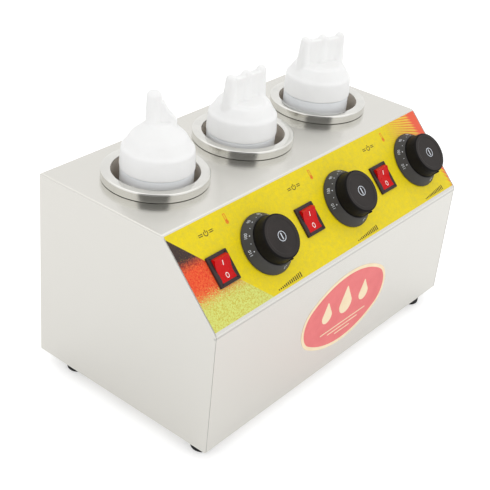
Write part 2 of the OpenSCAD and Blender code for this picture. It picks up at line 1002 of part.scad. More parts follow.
// Cap with three nozzles in a row
module comb_cap() {
  difference() {
    union() {
      cap_shell();
      translate([0, 0, cap_h - 1]) {
        shoulder(0);
        translate([0, 0, shoulder_h - seat_gap])
          cylinder(h = dome_h, r1 = shoulder_top_r, r2 = dome_top_r);
        translate([0, -ledge_shift, 0])
          cylinder(h = shoulder_h + dome_h, r = ledge_r);
      }
      translate([0, 0, cap_h]) {
        comb_block(0);
        for (x = [-1, 0, 1])
          translate([x * comb_pitch, 0, comb_h - tip_r])
            sphere(r = tip_r);
      }
    }
    translate([0, 0, cap_h - deck_t - 1]) {
      shoulder(cap_t);
      translate([0, 0, 1])
        comb_block(comb_wall);
      for (x = [-1, 0, 1])
        translate([x * comb_pitch, 0, shoulder_h])
          cylinder(h = comb_h, r = nozzle_bore_r);
    }
  }
}

cone_top_r = 12;
cone_h = 25.5;
spout_low_r = 8;
spout_tip_r = 7.2;
spout_round = 5;
spout_shift = 6.3;
spout_web_t = 9;
spout_web_x = 16;
spout_bore_r = 1.5;
// Places and heights of the web's sloping edge, the heights as parts of the nozzle's height
web_low_part = 0.49;
web_mid_x = 6.5;
web_mid_part = 0.64;
web_top_x = 1;
web_top_part = 0.8;

// Cone, tapered nozzle and web of the single spout, made smaller by inset for its hollow
module spout_form(inset) {
  top = spout_h - inset;
  shoulder(inset);
  translate([0, 0, shoulder_h - seat_gap])
    cylinder(h = cone_h - shoulder_h, r1 = shoulder_top_r - inset, r2 = cone_top_r - inset);
  translate([-spout_shift, 0, 0])
    rotate_extrude()
      polygon(concat(
        [[0, 0], [spout_low_r - inset, 0]],
        fillet([spout_low_r - inset, 0], [spout_tip_r - inset, top], [0, top], spout_round - inset),
        [[0, top]]
      ));
  translate([0, spout_web_t / 2 - inset, 0])
    rotate([90, 0, 0])
      linear_extrude(spout_web_t - 2 * inset)
        polygon([
          [-spout_shift, 0],
          [spout_web_x - inset, 0],
          [spout_web_x - inset, web_low_part * spout_h - inset],
          [web_mid_x - inset, web_mid_part * spout_h - inset],
          [web_top_x - inset, web_top_part * spout_h - inset],
          [-spout_shift, web_top_part * spout_h - inset],
        ]);
}

// Cap with one nozzle beside a sloping web
module spout_cap() {
  difference() {
    union() {
      cap_shell();
      translate([0, 0, cap_h - 1])
        spout_form(0);
    }
    translate([0, 0, cap_h - 1 - deck_t])
      spout_form(cap_t);
    translate([-spout_shift, 0, cap_h])
      cylinder(h = spout_h + 1, r = spout_bore_r);
  }
}

module bottle_cap_left() at_cap(LEFT) spout_cap();
module bottle_cap_mid() at_cap(MID) comb_cap();
module bottle_cap_right() at_cap(RIGHT) comb_cap();

// Eight-sided flange with half size h and half lengths f of its straight edges
module flange_outline(h, f) {
  polygon([
    [h[0], -f[1]], [h[0], f[1]], [f[0], h[1]], [-f[0], h[1]],
    [-h[0], f[1]], [-h[0], -f[1]], [-f[0], -h[1]], [f[0], -h[1]],
  ]);
}

// Socket opening with two cut corners
module socket_outline(w, h) {
  polygon([
    [-w, -h], [w, -h], [w, h - inlet_chamfer], [w - inlet_chamfer, h],
    [inlet_chamfer - w, h], [-w, h - inlet_chamfer],
  ]);
}

countersink = 1.6;

// Recessed three-pin inlet in the back
module power_inlet() {
  color([0.1, 0.1, 0.1])
    on_back(inlet_x, inlet_z)
      difference() {
        union() {
          linear_extrude(inlet_flange_t)
            flange_outline(inlet_flange / 2, inlet_flange_flat / 2);
          box(inlet_body, 1 - inlet_body[2]);
        }
        translate([0, 0, inlet_flange_t - inlet_socket[2]])
          linear_extrude(inlet_socket[2] + 1)
            socket_outline(inlet_socket[0] / 2, inlet_socket[1] / 2);
        for (p = inlet_pin_places)
          translate([p[0], p[1], 0])
            box([inlet_pin[0] + 0.2, inlet_pin[1] + 0.2, 60], -50);
        for (x = [-1, 1])
          translate([x * inlet_screw_x, 0, 0]) {
            translate([0, 0, -1])
              cylinder(h = inlet_flange_t + 2, r = m3_r + screw_gap);
            translate([0, 0, inlet_flange_t - countersink])
              cylinder(h = countersink + 0.1, r1 = m3_r + screw_gap, r2 = 2 * m3_r + 2 * screw_gap);
          }
      }
}

module inlet_pins() {
  color("gold")
    on_back(inlet_x, inlet_z)
      for (p = inlet_pin_places)
        translate([p[0], p[1], 0])
          box([inlet_pin[0], inlet_pin[1], inlet_pin_front - inlet_pin_back], inlet_pin_back);
}

module inlet_screws() {
  color("silver")
    on_back(inlet_x, inlet_z)
      for (x = [-1, 1])
        translate([x * inlet_screw_x, 0, 0]) {
          translate([0, 0, inlet_flange_t - countersink])
            cylinder(h = countersink - screw_gap, r1 = m3_r, r2 = 2 * m3_r);
          translate([0, 0, -7])
            cylinder(h = inlet_flange_t + 6, r = m3_r);
        }
}

inlet_nut_h = 2.4;

module inlet_nuts() {
  color("silver")
    on_back(inlet_x, inlet_z)
      for (x = [-1, 1])
        translate([x * inlet_screw_x, 0, -sheet_t - inlet_nut_h])
          nut(m3_r, inlet_nut_h);
}

module terminal_block() {
  color("ivory")
    translate([block_x, block_y, body_z])
      difference() {
        box(block_size);
        for (k = [-1, 0, 1])
          translate([k * block_way_step, 0, block_size[2] / 2])
            rotate([90, 0, 0])
              cylinder(h = block_size[1] + 2, r = block_way_r, center = true);
        for (x = [-1, 1])
          translate([x * block_screw_x, 0, -1])
            cylinder(h = block_size[2] + 2, r = m3_r + screw_gap);
      }
}

module terminal_block_screws() {
  color("silver")
    for (x = [-1, 1])
      translate([block_x + x * block_screw_x, block_y, body_z + block_size[2]])
        rotate([180, 0, 0])
          pan_screw(m3_r, block_size[2] + base_t + 2, m3_head_h);
}

module earth_stud() {
  color("goldenrod")
    translate([earth_x, earth_y, body_z - base_t - 1.5]) {
      cylinder(h = 1.5, r = 2 * m4_r);
      cylinder(h = base_t + 13, r = m4_r);
      translate([0, 0, base_t + 1.5])
        difference() {
          cylinder(h = foot_nut_h, r = nut_ratio * m4_r, $fn = 6);
          cylinder(h = 1, r = m4_r - 1);
        }
    }
}

way_z = body_z + block_size[2] / 2;

// Wires from the inlet to the terminal block and the earth stud
module supply_wires() {
  back = back_y + inlet_pin_back;
  color("saddlebrown") {
    for (k = [0, 1])
      let (
        pin = inlet_pin_places[k],
        x = inlet_x - pin[0],
        z = inlet_z + pin[1],
        way = block_x + block_way_step * k,
        out = block_y + block_size[1] / 2 + 8 + 5 * (1 - k)
      )
        routed([
          [x, back - 0.05, z],
          [x, back - 5 - 5 * k, z],
          [x, back - 5 - 5 * k, way_z + 12 + 6 * k],
          [way, out, way_z + 12 + 6 * k],
          [way, out, way_z],
          [way, block_y + 2, way_z],
        ], wire_r);
  }
  color("green")
    let (x = inlet_x, z = inlet_z + inlet_pin_places[2][1])
      routed([
        [x, back - 0.05, z],
        [x, back - 16, z],
        [x, earth_y, z - 8],
        [earth_x, earth_y, body_z + 22],
        [earth_x, earth_y, body_z + 13 - 1.45],
      ], wire_r);
}

// Wires from the terminal block to the switches
module switch_wires() {
  color("firebrick")
    for (side = UNITS)
      let (
        p = switch_terminal_places[0],
        x = switch_x(side) + p[0],
        tip = slope_pt(x, control_u - p[1], -switch_depth - blade_l - 0.05),
        away = slope_pt(x, control_u - p[1], -switch_depth - blade_l - 6),
        way = block_x + block_way_step * side,
        turn_y = well_y - 60 - 6 * side
      )
        routed([
          [way, block_y - 2, way_z],
          [way, turn_y, way_z],
          [x, turn_y, way_z + 14],
          [x, away[1], way_z + 14],
          away,
          tip,
        ], wire_r);
}

// Wires from the switches over the thermostats to the heaters
module heater_wires() {
  deep = thermostat_back - blade_l;
  color("royalblue")
    for (side = UNITS)
      let (
        p = switch_terminal_places[2],
        sx = switch_x(side) + p[0],
        kx = knob_x(side),
        bend = deep - 6
      ) {
        routed([
          slope_pt(sx, control_u - p[1], -switch_depth - blade_l - 0.05),
          slope_pt(sx, control_u - p[1], bend),
          slope_pt(kx - terminal_x, control_u, bend),
          slope_pt(kx - terminal_x, control_u, deep - 0.05),
        ], wire_r);
        routed([
          slope_pt(kx + terminal_x, control_u, deep - 0.05),
          slope_pt(kx + terminal_x, control_u, bend),
          [well_x(side) + 8, slope_pt(0, control_u, bend)[1] + 8, heater_z + 40],
          [well_x(side) + 8, slope_pt(0, control_u, bend)[1] + 8, heater_z + 16],
          [well_x(side) + 8, well_y - heater_r - heater_t - lead_box[1] + 0.95, heater_z + 16],
        ], wire_r);
      }
}

housing_shell();
base_plate();
base_screws();
foot_front_left();
foot_front_right();
foot_back_left();
foot_back_right();
foot_screws();
foot_nuts();
collar_left();
collar_mid();
collar_right();
well_cup_left();
well_cup_mid();
well_cup_right();
heater_band_left();
heater_band_mid();
heater_band_right();
heater_clamp_screws();
thermostat_left();
thermostat_mid();
thermostat_right();
thermostat_screws();
thermostat_shaft_left();
thermostat_shaft_mid();
thermostat_shaft_right();
sensor_left();
sensor_mid();
sensor_right();
sensor_clips();
knob_left();
knob_mid();
knob_right();
switch_frame_left();
switch_frame_mid();
switch_frame_right();
switch_rocker_left();
switch_rocker_mid();
switch_rocker_right();
panel_film();
front_badge();
bottle_left();
bottle_mid();
bottle_right();
bottle_cap_left();
bottle_cap_mid();
bottle_cap_right();
power_inlet();
inlet_pins();
inlet_screws();
inlet_nuts();
terminal_block();
terminal_block_screws();
earth_stud();
supply_wires();
switch_wires();
heater_wires();
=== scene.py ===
import math

import bmesh
import bpy
from mathutils import Matrix, Vector


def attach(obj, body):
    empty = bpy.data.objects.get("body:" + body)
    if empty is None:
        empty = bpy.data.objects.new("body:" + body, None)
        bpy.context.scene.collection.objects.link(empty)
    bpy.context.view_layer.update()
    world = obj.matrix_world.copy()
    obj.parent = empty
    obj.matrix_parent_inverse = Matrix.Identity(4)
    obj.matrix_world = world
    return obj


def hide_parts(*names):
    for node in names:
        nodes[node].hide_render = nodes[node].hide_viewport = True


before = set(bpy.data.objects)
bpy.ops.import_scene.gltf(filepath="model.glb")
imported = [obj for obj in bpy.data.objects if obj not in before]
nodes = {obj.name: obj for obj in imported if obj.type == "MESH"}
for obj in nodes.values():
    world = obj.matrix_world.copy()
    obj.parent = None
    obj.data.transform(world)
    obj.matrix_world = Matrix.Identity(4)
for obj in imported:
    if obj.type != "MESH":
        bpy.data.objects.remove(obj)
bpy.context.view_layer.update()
print("frame loaded with", len(nodes), "nodes")

# sizes are in millimetres until a piece is placed
mm = 0.001
sides = ("left", "mid", "right")
unitShift = {"left": -136.2, "mid": 0.0, "right": 136.2}

panel = {
    "topY": -45.5,  # upper bend of the slope
    "topZ": 228.0,
    "frontY": -117.5,
    "kneeZ": 153.0,
    "controlDown": 53.1,  # knobs and switches below the upper bend
    "switchX": -32.4,
    "knobX": 33.1,
}
slopeAngle = math.atan2(panel["topZ"] - panel["kneeZ"], panel["topY"] - panel["frontY"])


def onSlope(x, down, out=0.0):
    # local X runs along the panel, Y up the slope and Z out of it
    y = panel["topY"] - down * math.cos(slopeAngle) - out * math.sin(slopeAngle)
    z = panel["topZ"] - down * math.sin(slopeAngle) + out * math.cos(slopeAngle)
    return Matrix.Translation((x, y, z)) @ Matrix.Rotation(slopeAngle, 4, "X")


def turned(degrees, axis):
    return Matrix.Rotation(math.radians(degrees), 4, axis)


def moved(x, y, z):
    return Matrix.Translation((x, y, z))


# shapes made with bmesh operators
def cornerArc(before, corner, after, radius, steps=6):
    # points of a rounded corner between two straight lines of a profile
    p, a, b = Vector(corner), Vector(before), Vector(after)
    u, w = (a - p).normalized(), (b - p).normalized()
    half = u.angle(w) / 2
    centre = p + (u + w).normalized() * radius / math.sin(half)
    start = p + u * radius / math.tan(half) - centre
    end = p + w * radius / math.tan(half) - centre
    sweep = start.angle_signed(end)
    points = []
    for i in range(steps + 1):
        arm = start.copy()
        arm.rotate(Matrix.Rotation(-sweep * i / steps, 2))
        points.append(tuple(centre + arm))
    return points


def softProfile(corners):
    # each corner is (radius from the axis, height, rounding)
    points = []
    for i, (r, z, rounding) in enumerate(corners):
        if rounding:
            before, after = corners[i - 1][:2], corners[i + 1][:2]
            points += cornerArc(before, (r, z), after, rounding)
        else:
            points.append((r, z))
    return points


def spun(corners, steps=96, closed=True):
    # profile turned about Z
    bm = bmesh.new()
    verts = [bm.verts.new((r, 0, z)) for r, z in softProfile(corners)]
    edges = [bm.edges.new(pair) for pair in zip(verts, verts[1:])]
    if closed:
        edges.append(bm.edges.new((verts[-1], verts[0])))
    bmesh.ops.spin(bm, geom=verts + edges, cent=(0, 0, 0), axis=(0, 0, 1),
                   angle=math.tau, steps=steps, use_merge=True)
    bmesh.ops.remove_doubles(bm, verts=bm.verts, dist=0.001)
    bmesh.ops.dissolve_degenerate(bm, edges=bm.edges, dist=0.0001)
    bmesh.ops.recalc_face_normals(bm, faces=bm.faces)
    return bm


def block(size, centre=(0, 0, 0), rounding=0.0, segments=3):
    bm = bmesh.new()
    bmesh.ops.create_cube(bm, size=1.0)
    bmesh.ops.scale(bm, vec=size, verts=bm.verts)
    bmesh.ops.translate(bm, vec=centre, verts=bm.verts)
    if rounding:
        bmesh.ops.bevel(bm, geom=bm.edges[:], offset=rounding, segments=segments,
                        profile=0.5, affect="EDGES", material=-1)
    return bm


def raised(bm, thickness):
    # gives flat faces on Z 0 a thickness
    grown = bmesh.ops.extrude_face_region(bm, geom=bm.faces[:])
    top = [v for v in grown["geom"] if isinstance(v, bmesh.types.BMVert)]
    bmesh.ops.translate(bm, vec=(0, 0, thickness), verts=top)
    bmesh.ops.recalc_face_normals(bm, faces=bm.faces)
    return bm


def plate(outline, thickness):
    # flat outline in XY made into a plate that stands on Z 0
    bm = bmesh.new()
    bm.faces.new([bm.verts.new((x, y, 0)) for x, y in outline])
    return raised(bm, thickness)


def added(target, extra, place=Matrix()):
    # puts a copy of one mesh into another and frees it
    scrap = bpy.data.meshes.new("scrap")
    extra.transform(place)
    extra.to_mesh(scrap)
    extra.free()
    target.from_mesh(scrap)
    bpy.data.meshes.remove(scrap)
    return target


def linked(name, data):
    # new object in the scene
    made = bpy.data.objects.new(name, data)
    bpy.context.scene.collection.objects.link(made)
    return made


def finalMesh(holder):
    # mesh of an object with its modifiers applied, or of a curve
    depsgraph = bpy.context.evaluated_depsgraph_get()
    return bpy.data.meshes.new_from_object(holder.evaluated_get(depsgraph))


def makePiece(bm, name, body, material, place=Matrix(), stands=(), sharpAngle=35, zones=()):
    # a zone is a second finish and a test of the face's centre that chooses it
    for face in bm.faces:
        for number, (finish, chosen) in enumerate(zones):
            if chosen(face.calc_center_median()):
                face.material_index = number + 1
    bmesh.ops.transform(bm, matrix=Matrix.Scale(mm, 4) @ place, verts=bm.verts)
    mesh = bpy.data.meshes.new(name)
    bm.to_mesh(mesh)
    bm.free()
    for finish in [material] + [zone[0] for zone in zones]:
        mesh.materials.append(finish)
    mesh.shade_smooth()
    mesh.set_sharp_from_angle(angle=math.radians(sharpAngle))
    piece = linked(name, mesh)
    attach(piece, body)
    if stands:
        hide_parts(*stands)
    return piece


def lettering(words, height, depth):
    # plain figures as a mesh, centred on the origin, up along Y
    figureShare = 0.72  # a figure's height as a share of the font's size
    curve = bpy.data.curves.new("figures", "FONT")
    curve.body = words
    curve.size = height / figureShare
    curve.align_x = "CENTER"
    curve.align_y = "CENTER"
    curve.extrude = depth / 2
    curve.resolution_u = 3
    holder = linked("figures", curve)
    mesh = finalMesh(holder)
    bm = bmesh.new()
    bm.from_mesh(mesh)
    bpy.data.objects.remove(holder)
    bpy.data.meshes.remove(mesh)
    bpy.data.curves.remove(curve)
    return bm


def disc(radius, thickness, steps, hole=0.0):
    # flat round mark, or a flat ring where it has a hole
    if hole:
        return spun([(hole, 0, 0), (radius, 0, 0), (radius, thickness, 0), (hole, thickness, 0)], steps)
    bm = bmesh.new()
    bmesh.ops.create_circle(bm, cap_ends=True, radius=radius, segments=steps)
    return raised(bm, thickness)


def openRing(radius, hole, thickness, sweep, steps=28):
    # flat ring with a gap at its top
    bm = bmesh.new()
    corners = ((hole, 0), (radius, 0), (radius, thickness), (hole, thickness))
    verts = [bm.verts.new((r, 0, z)) for r, z in corners]
    face = bm.faces.new(verts)
    bmesh.ops.spin(bm, geom=[face] + verts + face.edges[:], cent=(0, 0, 0), axis=(0, 0, 1),
                   angle=math.radians(sweep), steps=steps)
    bmesh.ops.recalc_face_normals(bm, faces=bm.faces)
    bm.transform(turned(-90 - sweep / 2, "Z"))
    return bm


def bar(width, height, thickness=0.12):
    return block((width, height, thickness), (0, 0, thickness / 2))


# finishes
def tone(r, g, b):
    # screen colour as the linear one that shaders take
    def linear(c):
        c /= 255
        return c / 12.92 if c <= 0.04045 else ((c + 0.055) / 1.055) ** 2.4
    return (linear(r), linear(g), linear(b), 1.0)


def dimmed(colour, share):
    return tuple(c * share for c in colour[:3]) + (1.0,)


class Nodes:
    # small helper round one node tree
    def __init__(self, tree):
        self.tree = tree

    def feed(self, value, socket):
        # sets a socket to a number or colour, or links it to another node's output
        if isinstance(value, (int, float, tuple)):
            socket.default_value = value
        else:
            self.tree.links.new(value, socket)

    def node(self, kind, *values, **settings):
        # new node, with values for its first sockets in their order
        made = self.tree.nodes.new(kind)
        for key, value in settings.items():
            setattr(made, key, value)
        for socket, value in zip(made.inputs, values):
            self.feed(value, socket)
        return made

    def ramp(self, value, low, high, toLow=0.0, toHigh=1.0, smooth=False):
        kind = "SMOOTHSTEP" if smooth else "LINEAR"
        made = self.node("ShaderNodeMapRange", value, low, high, toLow, toHigh, interpolation_type=kind)
        return made.outputs["Result"]

    def sum(self, operation, *values):
        return self.node("ShaderNodeMath", *values, operation=operation).outputs["Value"]

    def vector(self, operation, *values):
        made = self.node("ShaderNodeVectorMath", *values, operation=operation)
        return made.outputs["Value" if operation == "DOT_PRODUCT" else "Vector"]

    def axes(self, vector):
        # the X, Y and Z of a vector
        return self.node("ShaderNodeSeparateXYZ", vector).outputs


class Finish(Nodes):
    # one material, with the sockets of its shader
    def __init__(self, name, colour, roughness, metallic=0.0):
        self.material = bpy.data.materials.new(name)
        self.material.use_nodes = True
        super().__init__(self.material.node_tree)
        self.shader = self.tree.nodes["Principled BSDF"]
        self.set("Base Color", colour)
        self.set("Roughness", roughness)
        self.set("Metallic", metallic)
        self.material.diffuse_color = colour

    def set(self, socket, value):
        self.feed(value, self.shader.inputs[socket])

    def place(self, centre=(0, 0, 0), scale=(1, 1, 1)):
        # object coordinates, centred and scaled
        coords = self.node("ShaderNodeTexCoord")
        mapping = self.node("ShaderNodeMapping", vector_type="POINT")
        mapping.inputs["Scale"].default_value = scale
        mapping.inputs["Location"].default_value = [-c * s for c, s in zip(centre, scale)]
        self.feed(coords.outputs["Object"], mapping.inputs["Vector"])
        return mapping.outputs["Vector"]

    def noise(self, vector, scale, detail, roughness=0.6):
        made = self.node("ShaderNodeTexNoise")
        made.inputs["Scale"].default_value = scale
        made.inputs["Detail"].default_value = detail
        made.inputs["Roughness"].default_value = roughness
        self.feed(vector, made.inputs["Vector"])
        return made.outputs["Fac"]

    def mix(self, amount, first, second):
        made = self.node("ShaderNodeMix", data_type="RGBA")
        # inputs 6 and 7 and output 2 are the node's colours
        for number, value in ((0, amount), (6, first), (7, second)):
            self.feed(value, made.inputs[number])
        return made.outputs[2]

    def bump(self, height, distance, strength):
        made = self.node("ShaderNodeBump")
        made.inputs["Distance"].default_value = distance
        made.inputs["Strength"].default_value = strength
        self.feed(height, made.inputs["Height"])
        self.set("Normal", made.outputs["Normal"])


rolled = {  # long faint grain, cloudy gloss and specks of rolled sheet
    "grain": (20, 420, 420),
    "cloudScale": 14.0,
    "speckScale": 420.0,
    "grainRoughness": 0.05,
    "cloudRoughness": 0.06,
    "grainShade": 0.98,
    "grainDepth": 0.000003,
}
bendShade = {  # painted shade: a darker line across the front under the film, at the foot of the lower bend, standing in for the bend's shading
    "z": panel["kneeZ"] - 3.0,
    "frontY": panel["frontY"] + 2.0,
    "halfWidth": 0.5,
    "fade": 1.0,
    "shade": 0.76,
}


def paintedBendShade(finish):
    # 1 on the painted shade line and 0 off it, for a mix
    spot = finish.axes(finish.place(scale=(1000, 1000, 1000)))
    near, far = bendShade["halfWidth"], bendShade["halfWidth"] + bendShade["fade"]
    low = finish.ramp(spot[2], bendShade["z"] - far, bendShade["z"] - near)
    high = finish.ramp(spot[2], bendShade["z"] + near, bendShade["z"] + far, 1.0, 0.0)
    front = finish.ramp(spot[1], bendShade["frontY"] - 0.2, bendShade["frontY"] + 0.2, 1.0, 0.0)
    return finish.sum("MULTIPLY", finish.sum("MULTIPLY", low, high), front)


def satinSheet(name, colour, roughness, grain=rolled["grain"], bendShaded=False):
    # metal of the housing and of small parts, which differ in their grain; the housing's also gets a line
    # of painted shade
    finish = Finish(name, colour, roughness, 1.0)
    lines = finish.noise(finish.place(scale=grain), 1.0, 3.0)
    clouds = finish.noise(finish.place(), rolled["cloudScale"], 3.0)
    specks = finish.noise(finish.place(), rolled["speckScale"], 2.0)
    gloss = finish.ramp(clouds, 0.3, 0.7, roughness - rolled["cloudRoughness"], roughness)
    finish.set("Roughness", finish.sum("MULTIPLY_ADD", lines, rolled["grainRoughness"], gloss))
    shade = finish.sum("MULTIPLY_ADD", lines, 0.5, finish.sum("MULTIPLY", specks, 0.5))
    skin = finish.mix(finish.ramp(shade, 0.35, 0.65), dimmed(colour, rolled["grainShade"]), colour)
    if bendShaded:
        # painted shade: darkens the line at the foot of the lower bend
        skin = finish.mix(paintedBendShade(finish), skin, dimmed(colour, bendShade["shade"]))
    finish.set("Base Color", skin)
    finish.bump(lines, rolled["grainDepth"], 0.2)
    return finish.material


def turnedMetal(name, colour, roughness, centre):
    # lathe-polished metal: fine rings about the piece's own axis
    finish = Finish(name, colour, roughness, 1.0)
    x, y, z = finish.axes(finish.place(centre=centre))
    square = finish.sum("MULTIPLY", x, x)
    radius = finish.sum("SQRT", finish.sum("MULTIPLY_ADD", y, y, square))
    rings = finish.noise(finish.node("ShaderNodeCombineXYZ", radius, z).outputs[0], 1600.0, 3.0)
    smears = finish.noise(finish.place(), 45.0, 4.0)
    gloss = finish.ramp(smears, 0.35, 0.75, roughness - 0.03, roughness + 0.1)
    finish.set("Roughness", finish.sum("MULTIPLY_ADD", rings, 0.08, gloss))
    finish.set("Base Color", finish.mix(finish.ramp(smears, 0.4, 0.8), colour, dimmed(colour, 0.9)))
    finish.bump(rings, 0.00001, 0.4)
    return finish.material


def moulded(name, colour, roughness, grain=900.0, depth=0.00004, spread=0.12, gloss=0.25):
    # moulded skin: fine spark grain, faint flow clouds and rub marks
    finish = Finish(name, colour, roughness)
    fine = finish.noise(finish.place(), grain, 3.0)
    clouds = finish.noise(finish.place(), 60.0, 4.0)
    rubbed = finish.ramp(clouds, 0.3, 0.75, roughness - 0.1, roughness + 0.04)
    finish.set("Roughness", finish.sum("MULTIPLY_ADD", fine, 0.12, rubbed))
    paler = tuple(min(1.0, c * (1 + spread) + 0.004) for c in colour[:3]) + (1.0,)
    finish.set("Base Color", finish.mix(finish.ramp(clouds, 0.35, 0.75), colour, paler))
    finish.bump(fine, depth, 0.6)
    finish.set("Specular IOR Level", gloss)
    return finish


def plastic(*settings, **more):
    return moulded(*settings, **more).material


def ink(name, colour, roughness=0.5):
    return plastic(name, colour, roughness, grain=1500.0, depth=0.00001)


steelTone = tone(223, 221, 215)
steel = satinSheet("satinSteel", steelTone, 0.24)
# the housing's steel carries the line of painted bend shade
housingSteel = satinSheet("housingSteel", steelTone, 0.24, bendShaded=True)
cupSteel = satinSheet("cupSteel", tone(232, 224, 214), 0.6)
zinc = satinSheet("zincPlate", tone(190, 192, 194), 0.42, grain=(300, 300, 900))
darkScrew = satinSheet("darkScrewSteel", tone(70, 70, 72), 0.45, grain=(600, 600, 600))
heaterSheet = satinSheet("heaterJacket", tone(196, 188, 172), 0.4, grain=(900, 900, 60))
brass = satinSheet("brass", tone(205, 170, 95), 0.3, grain=(500, 500, 500))
copper = satinSheet("copperTube", tone(205, 140, 100), 0.32, grain=(500, 500, 500))
blackPlastic = plastic("blackPlastic", tone(50, 49, 50), 0.5)
# the knob's grip and skirt are tones of one black plastic: the grip side is painted darker as shade, the
# skirt painted lighter as light
gripPlastic = plastic("gripPlastic", tone(21, 20, 20), 0.42, gloss=0.06)
facePlastic = plastic("facePlastic", tone(36, 31, 29), 0.5, grain=420.0, depth=0.00009, spread=0.5)
skirtPlastic = plastic("skirtPlastic", tone(62, 61, 60), 0.5)
framePlastic = plastic("framePlastic", tone(54, 42, 42), 0.4)
redPlastic = plastic("redPlastic", tone(196, 4, 6), 0.26, grain=500.0, depth=0.00001, gloss=0.16)
# the same dark rubber is given to the hidden collars as painted shade, to darken the gap under each ring
# rim
rubberAndGapShade = plastic("footRubber", tone(26, 26, 27), 0.6, grain=1400.0, depth=0.00008)
ceramic = plastic("ceramicBody", tone(236, 233, 222), 0.55, grain=1200.0)
wireSleeve = plastic("wireSleeve", tone(150, 60, 40), 0.4)
markPaint = ink("markPaint", tone(205, 210, 218), 0.45)
whitePaint = ink("whitePaint", tone(250, 236, 232), 0.4)
printInk = ink("printInk", tone(78, 62, 22))
redInk = ink("redInk", tone(222, 92, 30))


def softPlastic(name, colour, scatter, roughness):
    # cloudy squeeze-bottle plastic
    finish = moulded(name, colour, roughness, grain=700.0, depth=0.00003, spread=0.02, gloss=0.35)
    finish.set("Subsurface Weight", scatter)
    finish.set("Subsurface Radius", (1.0, 1.0, 1.0))
    finish.set("Subsurface Scale", 0.003)
    return finish.material


capPlastic = softPlastic("capPlastic", tone(244, 244, 243), 0.35, 0.42)
bottlePlastic = softPlastic("bottlePlastic", tone(232, 235, 238), 0.25, 0.3)


# places on the print, along the panel from its middle and down from the upper bend
film = {
    "brownEnd": (36.0, 48.0),
    "warmEnd": (97.0, 103.0),
    "cornerSlope": -0.91,
    "cornerEdge": (-218.6, -218.0),
    "rayCentre": (60.0, -22.0),
    "rays": 270.0,
    "rayReach": (150.0, 196.0),
    "rayFade": (26.0, 40.0),
    "glowReach": (150.0, 205.0),
    "glowFade": (30.0, 55.0),
    "tipSlope": -0.18,
    "tipEdge": (195.0, 201.0),
}


def leftCorner(finish, down, x, fine, grain):
    # bands from brown over red to green, with a grainy change, and where they show
    warm = finish.mix(finish.ramp(fine, 0.35, 0.65), tone(222, 38, 28), tone(238, 108, 54))
    green = finish.mix(finish.ramp(fine, 0.46, 0.6), tone(212, 220, 120), tone(200, 186, 72))
    brown = finish.mix(finish.ramp(fine, 0.4, 0.7), tone(56, 44, 44), tone(74, 56, 50))
    shade = finish.sum("MULTIPLY_ADD", fine, 14.0, down)
    wobble = finish.sum("MULTIPLY_ADD", grain, 60.0, down)
    bands = finish.mix(finish.ramp(shade, *film["brownEnd"]), brown, warm)
    bands = finish.mix(finish.ramp(wobble, *film["warmEnd"]), bands, green)
    edge = finish.sum("MULTIPLY_ADD", down, film["cornerSlope"], x)
    return finish.ramp(edge, *film["cornerEdge"], 1.0, 0.0), bands


def rightRays(finish, down, x, fine, clouds, colour):
    # glow, rays and solid tip of the right end, laid over the colour
    rayX, rayDown = film["rayCentre"]
    sweep = finish.sum("ARCTAN2", finish.sum("SUBTRACT", down, rayDown), finish.sum("SUBTRACT", x, rayX))
    wander = finish.sum("MULTIPLY", clouds, 1.5)
    teeth = finish.sum("SINE", finish.sum("MULTIPLY_ADD", sweep, film["rays"], wander))
    reach = finish.ramp(finish.sum("MULTIPLY_ADD", clouds, 16.0, x), *film["rayReach"])
    fade = finish.ramp(down, *film["rayFade"], 1.0, 0.0)
    rays = finish.sum("MULTIPLY", finish.sum("MULTIPLY", finish.ramp(teeth, 0.35, 0.8), reach), fade)
    glow = finish.sum("MULTIPLY", finish.ramp(x, *film["glowReach"]),
                      finish.ramp(down, *film["glowFade"], 1.0, 0.0))
    colour = finish.mix(finish.sum("MULTIPLY", glow, 0.8), colour, tone(244, 186, 92))
    colour = finish.mix(rays, colour, tone(228, 92, 50))
    tip = finish.sum("MULTIPLY_ADD", teeth, 2.0, finish.sum("MULTIPLY_ADD", down, film["tipSlope"], x))
    tip = finish.ramp(finish.sum("MULTIPLY_ADD", fine, 6.0, tip), *film["tipEdge"])
    return finish.mix(tip, colour, tone(234, 96, 68))


def panelPrint():
    # printed film: mottled yellow, a banded corner on the left, rays on the right
    finish = Finish("panelPrint", tone(233, 214, 22), 0.34)
    finish.set("Specular IOR Level", 0.2)
    spot = finish.place(scale=(1000, 1000, 1000))
    x = finish.axes(spot)[0]
    along = finish.vector("DOT_PRODUCT", spot, (0, -math.cos(slopeAngle), -math.sin(slopeAngle)))
    offset = panel["topY"] * math.cos(slopeAngle) + panel["topZ"] * math.sin(slopeAngle)
    down = finish.sum("ADD", along, offset)
    clouds = finish.noise(finish.place(), 70.0, 5.0, 0.65)
    fine = finish.noise(finish.place(), 620.0, 3.0, 0.7)
    grain = finish.noise(finish.place(), 1100.0, 2.0, 0.8)
    mottle = finish.noise(finish.place(), 190.0, 4.0, 0.65)
    specks = finish.noise(finish.place(), 900.0, 1.0, 0.5)
    yellow = finish.mix(finish.ramp(mottle, 0.35, 0.68), tone(236, 212, 2), tone(222, 202, 40))
    yellow = finish.mix(finish.ramp(fine, 0.5, 0.72, 0.0, 0.55), yellow, tone(214, 190, 48))
    corner, bands = leftCorner(finish, down, x, fine, grain)
    colour = rightRays(finish, down, x, fine, clouds, finish.mix(corner, yellow, bands))
    # specks of the coarse print
    colour = finish.mix(finish.ramp(specks, 0.6, 0.7, 0.0, 0.2), colour, tone(186, 160, 50))
    finish.set("Base Color", colour)
    finish.set("Roughness", finish.ramp(clouds, 0.3, 0.7, 0.34, 0.46))
    finish.bump(fine, 0.00002, 0.4)
    return finish.material


filmPrint = panelPrint()


